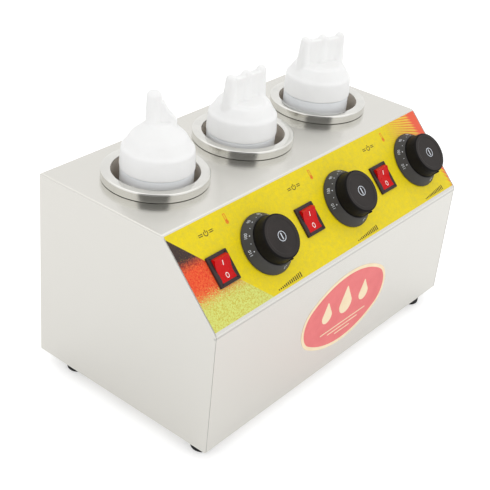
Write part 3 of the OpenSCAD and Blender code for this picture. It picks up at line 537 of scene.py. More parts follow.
def enamel(name, colour, second):
    # smooth coat with soft clouds of a second tone
    finish = Finish(name, colour, 0.4)
    finish.set("Specular IOR Level", 0.25)
    fine = finish.noise(finish.place(), 500.0, 3.0)
    clouds = finish.noise(finish.place(), 50.0, 4.0)
    shade = finish.mix(finish.ramp(clouds, 0.35, 0.7), colour, second)
    finish.set("Base Color", finish.mix(finish.ramp(fine, 0.5, 0.8, 0.0, 0.4), shade, second))
    finish.set("Roughness", finish.ramp(fine, 0.3, 0.7, 0.34, 0.46))
    finish.bump(fine, 0.00001, 0.4)
    return finish.material


badgeFace = enamel("badgeFace", tone(238, 124, 124), tone(230, 112, 114))
badgeCream = enamel("badgeCream", tone(250, 232, 196), tone(244, 222, 184))
print("materials made")


# finishes of the carried-over nodes
nodeFinish = {
    "housing_shell": housingSteel, "base_plate": steel, "base_screws": darkScrew,
    "foot_screws": darkScrew, "foot_nuts": zinc, "heater_band": heaterSheet,
    "heater_clamp_screws": darkScrew, "thermostat": ceramic, "thermostat_screws": zinc,
    "thermostat_shaft": brass, "sensor": copper, "sensor_clips": zinc,
    "panel_film": filmPrint, "power_inlet": blackPlastic, "inlet_pins": brass,
    "inlet_screws": zinc, "inlet_nuts": zinc, "terminal_block": ceramic,
    "terminal_block_screws": zinc, "earth_stud": brass, "supply_wires": wireSleeve,
    "switch_wires": wireSleeve, "heater_wires": wireSleeve, "foot_front": rubberAndGapShade,
    "foot_back": rubberAndGapShade, "bottle_cap": capPlastic, "bottle": bottlePlastic,
    "knob": blackPlastic, "switch_frame": framePlastic, "switch_rocker": redPlastic,
    # the collar gets the dark rubber as painted shade: it darkens the gap under each ring rim
    "front_badge": badgeFace, "collar": rubberAndGapShade, "well_cup": steel,
}
for name, node in nodes.items():
    stem = name
    for ending in sides:
        stem = stem.removesuffix("_" + ending)
    for held in node.material_slots:
        held.material = nodeFinish[stem]
print("node materials set")


well = {
    "y": 36.0,
    "cupRadius": 44.4,
    "cupRounding": 5.0,
    "wall": 0.8,
    "rimRadius": 54.7,
    "rimTop": 237.6,
    "rimWall": 1.0,
    "rimRounding": 1.5,
    "skirtLow": 228.45,
    "skirtRounding": 0.2,
    "floor": 73.0,
    "polishDepth": 2.2,  # polish of the rim that reaches into the cup
    "polishMargin": 0.5,
}


def makeWell(side):
    w = well
    x = unitShift[side]
    ringMetal = turnedMetal("polishedRing_" + side, tone(227, 226, 221), 0.07, (x * mm, w["y"] * mm, 0))
    outer = w["cupRadius"] + w["wall"]
    under = w["rimTop"] - w["rimWall"]
    skirt = w["rimRadius"] - w["rimWall"]
    cup = spun([
        (0, w["floor"] - w["wall"], 0),
        (outer, w["floor"] - w["wall"], w["cupRounding"] + w["wall"]),
        (outer, under, 0),
        (skirt, under, 0),
        (skirt, w["skirtLow"], w["skirtRounding"]),
        (w["rimRadius"], w["skirtLow"], 2 * w["skirtRounding"]),
        (w["rimRadius"], w["rimTop"], w["rimRounding"]),
        (w["cupRadius"], w["rimTop"], w["rimRounding"]),
        (w["cupRadius"], w["floor"], w["cupRounding"]),
        (0, w["floor"], 0),
    ], 128, closed=False)

    def inCup(spot):
        low = spot.z < w["rimTop"] - w["polishDepth"]
        return low and spot.to_2d().length < outer + w["polishMargin"]

    makePiece(cup, "cup_" + side, "housing", ringMetal, moved(x, w["y"], 0),
              ("well_cup_" + side,), zones=[(cupSteel, inCup)])


for side in sides:
    makeWell(side)
print("wells made")


bottle = {
    "radius": 37.0,
    "wall": 1.2,
    "base": 73.3,
    "dishRise": 1.5,  # hollow under the bottle
    "dishInset": 12,
    "heelInset": 8,
    "floorRise": 3.0,
    "neckRadius": 32.2,
    "neckHeight": 21.0,
    "threadRadius": 33.0,
    "threadLow": 5,
    "threadRise": 4.0,
    "threadTurns": 2,
    "threadSteps": 48,
    "shoulderGap": 0.4,
}
stand = {  # place in the well, turn of the cap, its lower edge
    "left": {"x": 1.3, "y": -0.5, "turn": -42, "capZ": 241.3},
    "mid": {"x": -2.4, "y": 1.0, "turn": -4, "capZ": 239.3},
    "right": {"x": -2.0, "y": 2.0, "turn": -20, "capZ": 246.0},
}


def bottlePlace(side, z=0.0):
    spot = stand[side]
    return moved(unitShift[side] + spot["x"], well["y"] + spot["y"], z) @ turned(spot["turn"], "Z")


def neckThread():
    # one ridge that winds up from Z 0
    turns = bottle["threadTurns"]
    root, crest = bottle["neckRadius"] - 0.1, bottle["threadRadius"]
    bm = bmesh.new()
    ridge = ((root, -0.9), (crest, -0.3), (crest, 0.3), (root, 0.9))
    verts = [bm.verts.new((r, 0, z)) for r, z in ridge]
    face = bm.faces.new(verts)
    steps = bottle["threadSteps"] * turns
    bmesh.ops.spin(bm, geom=[face] + verts + face.edges[:], cent=(0, 0, 0), axis=(0, 0, 1),
                   dvec=(0, 0, bottle["threadRise"] * turns / steps), angle=math.tau * turns, steps=steps)
    bmesh.ops.recalc_face_normals(bm, faces=bm.faces)
    return bm


def makeBottle(side):
    b = bottle
    r, t = b["radius"], b["wall"]
    neckLow = stand[side]["capZ"] - b["shoulderGap"]
    neckTop = stand[side]["capZ"] + b["neckHeight"]
    body = spun([
        (0, b["base"] + b["dishRise"], 0),
        (r - b["dishInset"], b["base"] + b["dishRise"], 1.0),
        (r - b["heelInset"], b["base"], 1.2),
        (r, b["base"], 3.5),
        (r, neckLow, 1.6),
        (b["neckRadius"], neckLow, 0.6),
        (b["neckRadius"], neckTop, 0.4),
        (b["neckRadius"] - t, neckTop, 0.4),
        (b["neckRadius"] - t, neckLow - t, 1.0),
        (r - t, neckLow - t, 2.0),
        (r - t, b["base"] + b["floorRise"], 2.5),
        (0, b["base"] + b["floorRise"], 0),
    ], 96, closed=False)
    added(body, neckThread(), moved(0, 0, neckLow + b["threadLow"]))
    makePiece(body, "squeeze_bottle_" + side, "bottle_" + side + "_body", bottlePlastic,
              bottlePlace(side), ("bottle_" + side,))


for side in sides:
    makeBottle(side)
print("bottles made")


cap = {
    "radius": 37.7,
    "height": 23.2,
    "taper": 1.2,
    "hem": 1.2,
    "cutOff": 1,
    "topRounding": 4.5,
    "wall": 1.5,
    "voxel": 0.9,
    "sink": 1,  # how far a part reaches into the one below it
    "neckSink": 1.02,
    "shoulderLow": 34.5,
    "shoulderTop": 28.0,
    "shoulderHeight": 11.0,
    "webDepth": 9.0,
}
comb = {  # cap with three nozzles and a web between them
    "height": 44.6,
    "pitch": 23.3,
    "nozzleRadius": 8.6,
    "tipRadius": 5.3,
    "nozzleSink": 4,
    "webDrop": 5.0,
    "domeTop": 20.0,
    "domeRise": 2.5,
    "swellRadius": 19.0,
    "swellTop": 18.6,
    "swellY": -8.0,
    "smoothing": 5,
}
spout = {  # cap with one nozzle and a web beside it
    "height": 55.9,
    "x": -6.3,
    "lowRadius": 8.0,
    "topRadius": 7.3,
    "tipRounding": 5.4,
    "neckTop": 12.0,
    "neckHeight": 25.5,
    "web": [(-6.3, 0), (16, 0), (17, 28.2), (9.0, 36.6), (3.4, 46.6), (-6.3, 46.6)],
    "smoothing": 4,
}


def capShell():
    # outside of the cap's lower part, a little longer at the foot, which is cut off later
    r, h, low = cap["radius"], cap["height"], -cap["cutOff"]
    return spun([
        (0, low, 0),
        (r, low, 0),
        (r, cap["hem"], 0),
        (r - cap["taper"], h, cap["topRounding"]),
        (0, h, 0),
    ], 96, closed=False)


def cone(lowRadius, topRadius, height, place, steps=48):
    bm = bmesh.new()
    bmesh.ops.create_cone(bm, cap_ends=True, segments=steps, radius1=lowRadius, radius2=topRadius,
                          depth=height, matrix=place @ moved(0, 0, height / 2))
    return bm


def ball(radius, place):
    bm = bmesh.new()
    bmesh.ops.create_uvsphere(bm, u_segments=32, v_segments=16, radius=radius)
    bm.transform(place)
    return bm


def fused(parts, name, smoothing):
    # overlapping solids melted into one skin, as one moulding has
    whole = bmesh.new()
    for part in parts:
        added(whole, part)
    mesh = bpy.data.meshes.new(name)
    whole.to_mesh(mesh)
    whole.free()
    holder = linked(name, mesh)
    skin = holder.modifiers.new("skin", "REMESH")
    skin.mode = "VOXEL"
    skin.voxel_size = cap["voxel"]
    melted = finalMesh(holder)
    bm = bmesh.new()
    bm.from_mesh(melted)
    bpy.data.objects.remove(holder)
    bpy.data.meshes.remove(mesh)
    bpy.data.meshes.remove(melted)
    for step in range(smoothing):
        bmesh.ops.smooth_vert(bm, verts=bm.verts, factor=0.5,
                              use_axis_x=True, use_axis_y=True, use_axis_z=True)
    return bm


def opened(bm):
    # cuts the underside open, then gives the skin its wall
    everything = bm.verts[:] + bm.edges[:] + bm.faces[:]
    bmesh.ops.bisect_plane(bm, geom=everything, plane_co=(0, 0, 0), plane_no=(0, 0, -1), clear_outer=True)
    bmesh.ops.recalc_face_normals(bm, faces=bm.faces)
    bmesh.ops.solidify(bm, geom=bm.faces[:], thickness=cap["wall"])
    return bm


def shoulder():
    return cone(cap["shoulderLow"], cap["shoulderTop"], cap["shoulderHeight"],
                moved(0, 0, cap["height"] - cap["sink"]), 96)


def neckPlace():
    # foot of what stands on the shoulder
    return moved(0, 0, cap["height"] - cap["neckSink"] + cap["shoulderHeight"])


def combCap():
    c, h, tip = comb, cap["height"], comb["tipRadius"]
    webTop = c["height"] - c["webDrop"]
    webSize = (2 * c["pitch"], cap["webDepth"], webTop + c["nozzleSink"])
    parts = [
        capShell(),
        shoulder(),
        cone(cap["shoulderTop"], c["domeTop"], c["domeRise"], neckPlace()),
        cone(c["swellRadius"], c["swellTop"], cap["shoulderHeight"] + c["domeRise"],
             moved(0, c["swellY"], h - cap["sink"])),
        block(webSize, (0, 0, h + webTop / 2 - c["nozzleSink"] / 2)),
    ]
    for step in (-1, 0, 1):
        x = step * c["pitch"]
        length = c["height"] - tip + c["nozzleSink"]
        parts.append(cone(c["nozzleRadius"], tip, length, moved(x, 0, h - c["nozzleSink"])))
        parts.append(ball(tip, moved(x, 0, h + c["height"] - tip)))
    return opened(fused(parts, "comb", c["smoothing"]))


def spoutCap():
    s, h, depth = spout, cap["height"], cap["webDepth"]
    web = plate(s["web"], depth)
    web.transform(moved(0, 0, h - cap["sink"]) @ turned(90, "X") @ moved(0, 0, -depth / 2))
    nozzle = spun([
        (0, 0, 0),
        (s["lowRadius"], 0, 0),
        (s["topRadius"], s["height"], s["tipRounding"]),
        (0, s["height"], 0),
    ], 48, closed=False)
    nozzle.transform(moved(s["x"], 0, h))
    neck = cone(cap["shoulderTop"], s["neckTop"], s["neckHeight"] - cap["shoulderHeight"], neckPlace(), 96)
    return opened(fused([capShell(), shoulder(), neck, web, nozzle], "spout", s["smoothing"]))


def makeCap(side, bm):
    makePiece(bm, "moulded_cap_" + side, "cap_" + side + "_body", capPlastic,
              bottlePlace(side, stand[side]["capZ"]), ("bottle_cap_" + side,), 60)


makeCap("left", spoutCap())
makeCap("mid", combCap())
makeCap("right", combCap())
print("caps made")


switch = {
    "width": 28.5,
    "height": 32.0,
    "low": 0.27,  # the frame stands on the film
    "proud": 2.4,
    "cornerRounding": 0.9,
    "rimRounding": 0.7,
    "rimWidth": 1.6,
    "openWidth": 20.7,
    "openHeight": 26.7,
    "openDepth": 9.5,
    "bodyWidth": 24.5,
    "bodyHeight": 28.6,
    "bodyTop": 8,
    "bodyDepth": 17.0,
    "tab": (6.3, 0.8, 9),
    "tabX": 6,
    "tabY": 7,
}
rocker = {
    "width": 20.0,
    "radius": 13.0,
    "pivot": -1.5,
    "lean": 11.0,
    "valley": 4.4,
    "reach": 11.2,
    "footY": 10.9,
    "footZ": -7.0,
    "hollow": 0.25,
    "pinRadius": 1.6,
    "pinLength": 22.4,
    "markY": 6.2,
    "markSink": 0.1,
}


def topFaces(bm):
    highest = max(f.calc_center_median().z for f in bm.faces)
    return [f for f in bm.faces if abs(f.calc_center_median().z - highest) < 0.01 and f.normal.z > 0.9]


def makeFrame(side, place):
    s = switch
    bm = block((s["width"], s["height"], s["proud"]), (0, 0, s["low"] + s["proud"] / 2))
    upright = [e for e in bm.edges if abs(e.verts[0].co.z - e.verts[1].co.z) > 1]
    bmesh.ops.bevel(bm, geom=upright, offset=s["cornerRounding"], segments=4, profile=0.5,
                    affect="EDGES", material=-1)
    bm.normal_update()
    bmesh.ops.bevel(bm, geom=topFaces(bm)[0].edges[:], offset=s["rimRounding"], segments=4, profile=0.5,
                    affect="EDGES", material=-1)
    bm.normal_update()
    inner = topFaces(bm)
    bmesh.ops.inset_region(bm, faces=inner, thickness=s["rimWidth"])
    halfWidth = max(v.co.x for v in inner[0].verts)
    halfHeight = max(v.co.y for v in inner[0].verts)
    narrowing = (s["openWidth"] / 2 / halfWidth, s["openHeight"] / 2 / halfHeight, 1)
    bmesh.ops.scale(bm, vec=narrowing, verts=inner[0].verts[:])
    pocket = bmesh.ops.extrude_face_region(bm, geom=inner)
    sunk = [v for v in pocket["geom"] if isinstance(v, bmesh.types.BMVert)]
    bmesh.ops.translate(bm, vec=(0, 0, -s["openDepth"]), verts=sunk)
    bmesh.ops.delete(bm, geom=[f for f in inner if f.is_valid], context="FACES_ONLY")
    bmesh.ops.recalc_face_normals(bm, faces=bm.faces)
    makePiece(bm, "switch_bezel_" + side, "housing", framePlastic, place, (), 30)
    depth = s["bodyDepth"] - s["bodyTop"]
    back = block((s["bodyWidth"], s["bodyHeight"], depth), (0, 0, -s["bodyTop"] - depth / 2 - 0.1), 0.6)
    for x in (-s["tabX"], s["tabX"]):
        for y in (-s["tabY"], s["tabY"]):
            added(back, block(s["tab"], (x, y, -s["bodyDepth"] - 4), 0.15, 2))
    makePiece(back, "switch_body_" + side, "housing", framePlastic, place,
              ("switch_frame_" + side,), 30)


def rockerOutline(rise):
    # end view: a round end with its foot and crest, a hollow, and the same again
    r, valley, reach = rocker["radius"], rocker["valley"], rocker["reach"]
    foot = math.atan2(rocker["footZ"], rocker["footY"])
    crest = math.atan2(valley + reach * rise, reach)
    angles = [foot + (crest - foot) * i / 6 for i in range(7)]
    half = [(r * math.cos(a), r * math.sin(a)) for a in angles]
    for y in (8.4, 5.6, 2.8):
        half.append((y, valley + y * rise - rocker["hollow"] * math.sin(math.pi * y / reach)))
    return half + [(0, valley)] + [(-y, z) for y, z in reversed(half)]


def makeRocker(side, place):
    k, lean = rocker, rocker["lean"]
    rise = math.tan(math.radians(lean))
    bm = plate(rockerOutline(rise), k["width"])
    bm.transform(moved(-k["width"] / 2, 0, 0) @ turned(90, "Z") @ turned(90, "X"))
    ends = [e for e in bm.edges if abs(e.verts[0].co.x - e.verts[1].co.x) < 0.01]
    bmesh.ops.bevel(bm, geom=ends, offset=0.5, segments=3, profile=0.5, affect="EDGES", material=-1,
                    clamp_overlap=True)
    pin = bmesh.new()
    bmesh.ops.create_cone(pin, cap_ends=True, segments=24, radius1=k["pinRadius"], radius2=k["pinRadius"],
                          depth=k["pinLength"], matrix=turned(90, "Y"))
    added(bm, pin)
    tilt = place @ moved(0, 0, k["pivot"]) @ turned(lean, "X")
    makePiece(bm, "rocker_" + side, "rocker_" + side + "_body", redPlastic, tilt,
              ("switch_rocker_" + side,), 40)
    marks = bmesh.new()
    height = k["valley"] + k["markY"] * rise - k["markSink"]
    added(marks, bar(0.9, 4.9), moved(0, k["markY"], height) @ turned(lean, "X"))
    ring = disc(2.5, 0.12, 32, 1.8)
    bmesh.ops.scale(ring, vec=(0.86, 1.12, 1), verts=ring.verts)
    added(marks, ring, moved(0, -k["markY"], height) @ turned(-lean, "X"))
    makePiece(marks, "rocker_marks_" + side, "rocker_" + side + "_body", whitePaint, tilt)


for side in sides:
    spot = onSlope(panel["switchX"] + unitShift[side], panel["controlDown"])
    makeFrame(side, spot)
    makeRocker(side, spot)
print("switches made")


knob = {
    "skirtRadius": 32.0,
    "low": 0.85,
    "edge": 1.4,
    "skirtRise": 11.5,
    "gripLow": 24.6,
    "gripTop": 23.1,
    "ledge": 0.8,
    "grooveDepth": 1.2,
    "front": 25.0,
    "rounding": 1.6,
    "wall": 2.4,
    "boreRadius": 6.5,
    "boreWall": 2.0,
    "boreEnd": 3.0,
    "faceRadius": 18.5,
    "faceBevel": 1.0,
    "faceDip": 0.35,
    "ribWidth": 3.0,
    "ribDepth": 2.6,
    "ribDrop": 1.7,
}
dial = {
    "figures": ("110", "100", "90", "80", "70", "60", "50", "40", ""),
    "firstAngle": 89.0,
    "angleStep": 33.4,
    "dotRadius": 27.4,
    "dotSize": 0.62,
    "smallDotSize": 0.42,
    "dotDepth": 0.15,
    "figureRadius": 29.5,
    "figureHeight": 3.2,
    "figureDepth": 0.12,
    "figureLift": 0.05,
    "pointerRadius": 28.2,
    "ringRadius": 5.3,
    "ringHole": 4.6,
}


coneTop = knob["gripLow"] + knob["ledge"]
coneSlope = (knob["skirtRise"] - knob["edge"]) / (knob["skirtRadius"] - coneTop)


def skirtHeight(radius):
    return knob["low"] + knob["edge"] + (knob["skirtRadius"] - radius) * coneSlope


def dialPlace(angle, radius, lift=0.0):
    # clockwise from the lowest point of the dial, tops of figures outwards
    a = math.radians(angle)
    tilt = math.degrees(math.atan(coneSlope))
    return (moved(-radius * math.sin(a), -radius * math.cos(a), skirtHeight(radius) + lift)
            @ turned(180 - angle, "Z") @ turned(-tilt, "X"))


def makeKnob(side, place):
    k = knob
    low, top = k["low"], k["front"]
    inner = k["gripTop"] - k["wall"]
    coneEnd = low + k["skirtRise"]
    hub = k["boreRadius"] + k["boreWall"]
    bm = spun([
        (0, top - k["boreEnd"], 0),
        (k["boreRadius"], top - k["boreEnd"], 0),
        (k["boreRadius"], low + 1.4, 0.3),
        (hub, low + 1.4, 0.3),
        (hub, top - k["wall"], 0.5),
        (inner, top - k["wall"], 0.8),
        (inner, low, 0.3),
        (k["skirtRadius"], low, 0.4),
        (k["skirtRadius"], low + k["edge"], 0.5),
        (coneTop, coneEnd, 0.25),
        (coneTop, coneEnd - k["grooveDepth"], 0),
        (k["gripLow"], coneEnd - k["grooveDepth"], 0),
        (k["gripTop"], top, k["rounding"]),
        (k["faceRadius"], top, 0.6),
        (k["faceRadius"] - k["faceBevel"], top - k["faceDip"], 0.6),
        (0, top - k["faceDip"], 0),
    ], 128, closed=False)
    ribTop = top - k["ribDrop"]
    ribHeight = ribTop - low - k["skirtRise"]
    ribSize = (k["ribWidth"], k["ribDepth"], ribHeight)
    added(bm, block(ribSize, (0, -k["gripTop"] - 0.4, ribTop - ribHeight / 2), 0.7))

    def onGrip(spot):
        return 19.0 < spot.to_2d().length < k["gripLow"] and spot.z > coneEnd - 1.1

    def onFace(spot):
        return spot.to_2d().length < 21.5 and spot.z > top - 0.6

    # grip painted darker as shade, skirt painted lighter as light, face in its own darker tone
    makePiece(bm, "dial_knob_" + side, "knob_" + side + "_body", skirtPlastic, place,
              ("knob_" + side,), 32, [(gripPlastic, onGrip), (facePlastic, onFace)])
    marks = dialMarks()
    face = moved(0, 0, top - k["faceDip"])
    added(marks, disc(dial["ringRadius"], 0.12, 48, dial["ringHole"]), face)
    added(marks, bar(1.3, 7.0), face)
    makePiece(marks, "dial_marks_" + side, "knob_" + side + "_body", markPaint, place)


def dialMarks():
    # figures with a dot at each, a small dot between two, and the pointer
    d = dial
    marks = bmesh.new()
    for i, figure in enumerate(d["figures"]):
        angle = d["firstAngle"] + i * d["angleStep"]
        added(marks, disc(d["dotSize"], d["dotDepth"], 16), dialPlace(angle, d["dotRadius"]))
        if figure:
            added(marks, lettering(figure, d["figureHeight"], d["figureDepth"]),
                  dialPlace(angle, d["figureRadius"], d["figureLift"]))
        if i + 1 < len(d["figures"]):
            added(marks, disc(d["smallDotSize"], d["dotDepth"], 12),
                  dialPlace(angle + d["angleStep"] / 2, d["dotRadius"]))
    added(marks, bar(0.8, 3.2, d["dotDepth"]), dialPlace(0, d["pointerRadius"]))
    return marks


for side in sides:
    makeKnob(side, onSlope(panel["knobX"] + unitShift[side], panel["controlDown"]))
print("knobs made")


prints = {
    "filmTop": 0.25,
    "depth": 0.06,
    "switchSignX": -29.8,
    "switchSignDown": 16.7,
    "levelSignX": 38.2,
    "levelSignDown": 96.0,
    "levelBars": 13,
    "levelPitch": 3,
    "levelLow": 1.4,
    "levelStep": 0.34,
    "glassX": 1.5,
    "glassDown": 13.2,
    "bulbY": -3.2,
}


def makePrints(side):
    shift = unitShift[side]
    out, depth = prints["filmTop"], prints["depth"]
    black = bmesh.new()
    # power sign between two short lines
    here = onSlope(prints["switchSignX"] + shift, prints["switchSignDown"], out)
    added(black, openRing(3.0, 2.15, depth, 285), here)
    added(black, bar(0.9, 3.4, depth), here @ moved(0, 2.0, 0))
    for x in (-7.4, 7.4):
        for y in (-0.9, 0.9):
            added(black, bar(5.6, 0.8, depth), here @ moved(x, y, 0))
    # row of bars that grow with the heat
    here = onSlope(prints["levelSignX"] + shift, prints["levelSignDown"], out)
    for i in range(prints["levelBars"]):
        tall = prints["levelLow"] + prints["levelStep"] * i
        x = prints["levelPitch"] * (i - (prints["levelBars"] - 1) // 2)
        added(black, bar(1.5, tall, depth), here @ moved(x, tall / 2 - 2.6, 0))
    makePiece(black, "panel_signs_" + side, "housing", printInk)
    # small thermometer
    red = bmesh.new()
    here = onSlope(prints["glassX"] + shift, prints["glassDown"], out)
    bulb = here @ moved(0, prints["bulbY"], 0)
    added(red, disc(2.1, depth, 24, 1.4), bulb)
    added(red, disc(1.0, depth, 16), bulb)
    for x in (-1.2, 1.2):
        added(red, bar(0.6, 6.4, depth), here @ moved(x, 1.7, 0))
    added(red, bar(3.0, 0.6, depth), here @ moved(0, 5.1, 0))
    added(red, bar(0.6, 2.2, depth), here @ moved(0, -1.4, 0))
    makePiece(red, "thermometer_sign_" + side, "housing", redInk)


for side in sides:
    makePrints(side)
print("prints made")


badge = {
    "x": 6.0,
    "z": 83.0,
    "length": 156.0,
    "height": 88.0,
    "endRadius": 30.0,
    "border": 4.0,
    "proud": 0.34,
    "fieldDrop": 0.1,
    "inkDrop": 0.03,
    "depth": 0.08,
    "drops": ((-34, 26), (0, 34), (34, 26)),  # place along the badge, and height
    "lines": ((84, -19), (56, -24), (28, -29)),  # length, and place below the middle
}
droplet = {
    "radius": 0.34,  # shares of the drop's height
    "stretch": 0.32,
    "narrowing": 0.62,  # share of the width that is lost at the point
}


def ovalOutline(length, height, endRadius, steps=12):
    # two wide arcs that run smoothly into two end arcs
    a, b = length / 2, height / 2
    wide = (a * a + b * b - 2 * a * endRadius) / (2 * (b - endRadius))
    joint = math.atan2(wide - b, a - endRadius)
    points = []
    for i in range(2 * steps + 1):
        t = -joint + 2 * joint * i / (2 * steps)
        points.append((a - endRadius + endRadius * math.cos(t), endRadius * math.sin(t)))
    for i in range(1, 2 * steps):
        t = joint + (math.pi - 2 * joint) * i / (2 * steps)
        points.append((wide * math.cos(t), b - wide + wide * math.sin(t)))
    return points + [(-x, -y) for x, y in points]


def drop(height):
    # drop of sauce, point up
    radius = height * droplet["radius"]
    bm = bmesh.new()
    bmesh.ops.create_circle(bm, cap_ends=True, radius=radius, segments=32)
    for v in bm.verts:
        if v.co.y > 0:
            lift = v.co.y / radius
            v.co.x *= 1 - droplet["narrowing"] * lift ** 1.5
            v.co.y += height * droplet["stretch"] * lift ** 2.2
    return raised(bm, badge["depth"])


def makeBadge():
    d, border = badge, badge["border"]
    place = moved(d["x"], panel["frontY"], d["z"]) @ turned(90, "X")
    outer = plate(ovalOutline(d["length"], d["height"], d["endRadius"]), d["proud"] - d["fieldDrop"])
    makePiece(outer, "badge_border", "housing", badgeCream, place, ("front_badge",), 30)
    inner = plate(ovalOutline(d["length"] - 2 * border, d["height"] - 2 * border, d["endRadius"] - border),
                  d["depth"])
    makePiece(inner, "badge_field", "housing", badgeFace,
              place @ moved(0, 0, d["proud"] - d["fieldDrop"]))
    motif = bmesh.new()
    tallest = max(tall for x, tall in d["drops"])
    for x, tall in d["drops"]:
        added(motif, drop(tall), moved(x, 4 - (tallest - tall) * 0.12, 0))
    for width, y in d["lines"]:
        added(motif, bar(width, 1.3, d["depth"]), moved(0, y, 0))
    makePiece(motif, "badge_motif", "housing", badgeCream,
              place @ moved(0, 0, d["proud"] - d["inkDrop"]))


makeBadge()
print("badge made")


foot = {
    "radius": 12.0,
    "height": 13.9,
    "edge": 1.2,
    "boltRadius": 2.1,
    "headRadius": 4.6,
    "headDepth": 5.0,
    "groove": 1.1,
}
footPlaces = {
    "foot_front_left": (-194.5, -96.5),
    "foot_front_right": (185.5, -101.0),
    "foot_back_left": (-194.5, 81.5),
    "foot_back_right": (185.5, 81.5),
}
for name, (x, y) in footPlaces.items():
    f = foot
    cushion = spun([
        (f["boltRadius"], f["headDepth"], 0),
        (f["headRadius"], f["headDepth"], 0.3),
        (f["headRadius"], 0, 0.4),
        (f["radius"] - 0.6, 0, f["edge"]),
        (f["radius"] - 0.3, f["height"] * 0.45, 0),
        (f["radius"] - f["groove"], f["height"] * 0.5, 0.3),
        (f["radius"] - 0.3, f["height"] * 0.55, 0),
        (f["radius"], f["height"], 0.6),
        (f["boltRadius"], f["height"], 0),
    ], 64)
    makePiece(cushion, "rubber_" + name, "housing", rubberAndGapShade, moved(x, y, 0), (name,), 30)
print("feet made")


# floor and light, in metres
studio = {
    "floorSize": 6.0,
    "floorDrop": 0.0002,
    "floorTone": 0.86,
    "floorGlow": 0.4,
    "floorInMetal": 0.459,
    "worldLight": 1.0,
    "darkAzimuth": -48.5,
    "darkFacing": (0.81, 0.88),
    "darkLevel": 0.2,
    "ceilingHeight": (0.58, 0.7),
    "ceilingLevel": 0.3,
}


def makeFloor():
    bm = bmesh.new()
    bmesh.ops.create_grid(bm, x_segments=1, y_segments=1, size=studio["floorSize"] / 2)
    mesh = bpy.data.meshes.new("floor")
    bm.to_mesh(mesh)
    bm.free()
    floor = linked("floor", mesh)
    floor.location = (0, 0, -studio["floorDrop"])
    finish = Finish("floorPaper", (studio["floorTone"],) * 3 + (1.0,), 0.9)
    paper = finish.noise(finish.place(), 30.0, 3.0)
    finish.set("Roughness", finish.ramp(paper, 0.3, 0.7, 0.85, 0.95))
    finish.set("Emission Color", (1.0, 1.0, 1.0, 1.0))
    rays = finish.node("ShaderNodeLightPath").outputs
    clear = finish.sum("MAXIMUM", rays["Is Camera Ray"], rays["Is Transmission Ray"])
    seen = finish.sum("MULTIPLY_ADD", rays["Is Glossy Ray"], studio["floorInMetal"], clear)
    finish.set("Emission Strength", finish.sum("MULTIPLY", seen, studio["floorGlow"]))
    mesh.materials.append(finish.material)


def makeWorld():
    world = bpy.data.worlds.new("studio")
    bpy.context.scene.world = world
    world.use_nodes = True
    world.node_tree.nodes.clear()
    room = Nodes(world.node_tree)
    rays = room.node("ShaderNodeLightPath").outputs
    towards = room.node("ShaderNodeTexCoord").outputs["Generated"]
    # one dark end of the room, which shows in polished metal only
    azimuth = math.radians(studio["darkAzimuth"])
    level = room.vector("NORMALIZE", room.vector("MULTIPLY", towards, (1, 1, 0)))
    facing = room.vector("DOT_PRODUCT", level, (math.sin(azimuth), -math.cos(azimuth), 0))
    dim = room.ramp(facing, *studio["darkFacing"], 1.0, studio["darkLevel"], smooth=True)
    # a brighter ceiling, which draws the bright line along each bend
    height = room.axes(towards)["Z"]
    ceiling = room.ramp(height, *studio["ceilingHeight"], 0.0, studio["ceilingLevel"], smooth=True)

    def background(strength):
        return room.node("ShaderNodeBackground", (1, 1, 1, 1), strength).outputs[0]

    def mixed(amount, first, second):
        return room.node("ShaderNodeMixShader", amount, first, second).outputs[0]

    reflected = background(room.sum("ADD", dim, ceiling))
    light = mixed(rays["Is Glossy Ray"], background(studio["worldLight"]), reflected)
    clear = room.sum("MAXIMUM", rays["Is Camera Ray"], rays["Is Transmission Ray"])
    room.node("ShaderNodeOutputWorld", mixed(clear, light, background(1.0)))


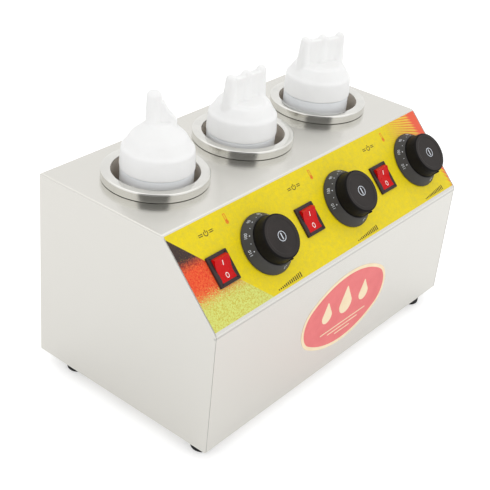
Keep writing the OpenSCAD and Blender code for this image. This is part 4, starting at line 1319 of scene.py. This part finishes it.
lamps = {  # place, size and power
    "keyLamp": ((-1.5, -1.7, 1.5), 1.6, 5),
    "fillLamp": ((1.6, -1.2, 1.2), 1.6, 2.5),
}
lampAim = (0, 0, 0.12)


def softLamp(name, spot, size, power):
    lamp = bpy.data.lights.new(name, "AREA")
    lamp.shape = "DISK"
    lamp.size = size
    lamp.energy = power
    holder = linked(name, lamp)
    holder.location = spot
    holder.visible_glossy = False  # metal shows the plain room, not the lamp
    holder.rotation_mode = "QUATERNION"
    holder.rotation_quaternion = (Vector(lampAim) - Vector(spot)).to_track_quat("-Z", "Y")


view = {  # camera, in degrees and millimetres, and in pixels of the photo
    "imagePixels": 490,
    "focalPixels": 1092.254,
    "middleX": 216,
    "middleY": 233,
    "azimuth": -51.916,
    "elevation": 30.367,
    "roll": 4.908,
    "across": 39.877,
    "up": -94.491,
    "distance": 1261.709,
    "aimZ": 15,
    "sensor": 36,
}


def makeCamera():
    a, e, r = (math.radians(view[key]) for key in ("azimuth", "elevation", "roll"))
    back = Vector((math.sin(a) * math.cos(e), -math.cos(a) * math.cos(e), math.sin(e)))
    right = Vector((0, 0, 1)).cross(back).normalized()
    up = back.cross(right)
    acrossAxis = math.cos(r) * right + math.sin(r) * up
    upAxis = -math.sin(r) * right + math.cos(r) * up
    spread = Matrix((acrossAxis, upAxis, back)).transposed()
    spot = spread @ Vector((-view["across"], -view["up"], view["distance"])) + Vector((0, 0, view["aimZ"]))
    placed = spread.to_4x4()
    placed.translation = spot * mm
    lens = bpy.data.cameras.new("camera")
    lens.sensor_width = view["sensor"]
    lens.lens = view["focalPixels"] / view["imagePixels"] * view["sensor"]
    lens.shift_x = (view["imagePixels"] / 2 - view["middleX"]) / view["imagePixels"]
    lens.shift_y = (view["middleY"] - view["imagePixels"] / 2) / view["imagePixels"]
    lens.clip_start = 0.05
    camera = linked("camera", lens)
    camera.matrix_world = placed
    bpy.context.scene.camera = camera


makeCamera()
makeFloor()
makeWorld()
for name, (spot, size, power) in lamps.items():
    softLamp(name, spot, size, power)
bpy.context.scene.view_settings.view_transform = "Standard"
print("studio made")
